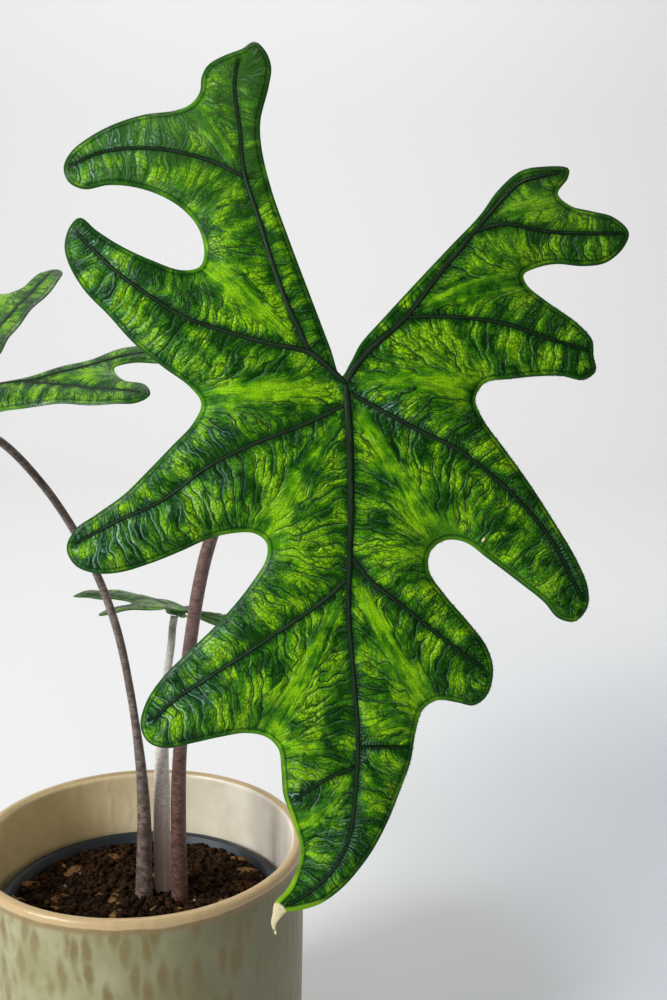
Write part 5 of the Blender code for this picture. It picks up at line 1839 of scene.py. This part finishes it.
# %% The soil and what lies on it
soil = soil_bed(soil_finish("dark_soil", (0.003, 0.0015, 0.0008), (0.028, 0.014, 0.006)))
crumb_look = soil_finish("soil_crumbs", (0.004, 0.002, 0.001), (0.062, 0.028, 0.011))
chip_look = soil_finish("bark_chips", (0.085, 0.036, 0.013), (0.36, 0.19, 0.075), 0.8)
grit_look = soil_finish("grit", (0.25, 0.24, 0.22), (0.5, 0.48, 0.45), 0.8)
crumbs = scatter("soil_crumbs", 2600, (0.0005, 0.0021), (1, 1, 0.75), 1.2, 41, crumb_look)
chips = scatter("bark_chips", 46, (0.0014, 0.0050), (1.5, 0.8, 0.3), 0.5, 43, chip_look)
grit = scatter("grey_grit", 22, (0.0006, 0.0012), (1, 1, 0.8), 1.2, 47, grit_look)
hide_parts("soil")
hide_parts("outer_pot")
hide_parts("nursery_pot")
for piece, finish in ((soil, "soil"), (crumbs, "soil"), (chips, "soil"), (grit, "soil"),
                      (outer_pot, "glaze"), (nursery, "nursery_plastic")):
    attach(piece, "root")

# %% [markdown]
# ## Studio
#
# The plant stands on a pale floor that curves up into a backdrop, so no horizon shows. The floor is
# painted a little darker and bluer in front on the right, as painted shade. One large soft light from
# the upper left and a pale world give the soft shine on the leaf, and a second light brightens the
# wall alone.

# %% Floor and backdrop
FLOOR_FRONT, FLOOR_BACK, FLOOR_BEND = -2.5, 1.3, 0.5
FLOOR_HALF_WIDTH, WALL_TOP = 3.0, 2.5
# The bluish paper is painted shade for the floor's front right corner.
PAPER, SHADED_BLUISH_PAPER = (0.82, 0.82, 0.81), (0.70, 0.725, 0.775)


def sweep(look):
    """A sheet that runs along the floor, turns up through a quarter circle and rises behind."""
    turn = np.linspace(0, math.pi / 2, 24)
    y = np.concatenate([[FLOOR_FRONT], FLOOR_BACK + FLOOR_BEND * np.sin(turn), [FLOOR_BACK + FLOOR_BEND]])
    z = np.concatenate([[0], FLOOR_BEND - FLOOR_BEND * np.cos(turn), [WALL_TOP]])
    x = np.array([-FLOOR_HALF_WIDTH, FLOOR_HALF_WIDTH])
    points = np.stack([np.repeat(x[None], len(y), 0), np.repeat(y[:, None], 2, 1),
                       np.repeat(z[:, None], 2, 1)], axis=-1).reshape(-1, 3)
    k = np.arange(len(y) - 1) * 2
    return mesh_piece("backdrop", points, [np.stack([k, k + 1, k + 3, k + 2], axis=1)], look)


def paper_finish():
    """Pale paper, with painted shade that makes the floor's front right corner darker and bluer."""
    made, tree, shader = new_material("pale_paper", 0.9)
    x, y, _ = split(object_place(tree))
    # Painted shade: darker and bluer in the floor's front right corner.
    corner = fade(x, 0.0, 0.35) * fade(y, 0.3, 0.8, 1.0, 0.0)
    plug(blend(corner, PAPER, SHADED_BLUISH_PAPER), shader["Base Color"])
    return made


backdrop = sweep(paper_finish())

# %% Camera
scene = bpy.context.scene
camera = bpy.data.objects.new("camera", bpy.data.cameras.new("camera"))
scene.collection.objects.link(camera)
camera.location = (0.0827, -0.5423, 0.4036)
camera.rotation_euler = (math.radians(76.84), 0, 0)
camera.data.lens = 50
camera.data.sensor_width = 36
camera.data.sensor_fit = "AUTO"
scene.camera = camera
scene.view_settings.view_transform = "Standard"
print("camera at", list(camera.location))


# %% Lights
def soft_light(name, place, target, size, power, colour=(1, 1, 1)):
    """A square area light that looks at a point."""
    light = bpy.data.objects.new(name, bpy.data.lights.new(name, "AREA"))
    light.data.energy = power
    light.data.size = size
    light.data.color = colour
    light.location = place
    light.rotation_euler = (Vector(target) - Vector(place)).to_track_quat("-Z", "Y").to_euler()
    scene.collection.objects.link(light)
    print(name, power, "W")


soft_light("window", (-1.05, -0.75, 0.95), (0.03, -0.03, 0.25), 0.5, 22, (0.95, 0.98, 1.0))
soft_light("wall_wash", (0.0, 0.75, 1.7), (0.0, 1.6, 0.3), 0.8, 13)
world = bpy.data.worlds.new("studio")
world.use_nodes = True
world.node_tree.nodes["Background"].inputs["Color"].default_value = (0.34, 0.34, 0.34, 1)
scene.world = world
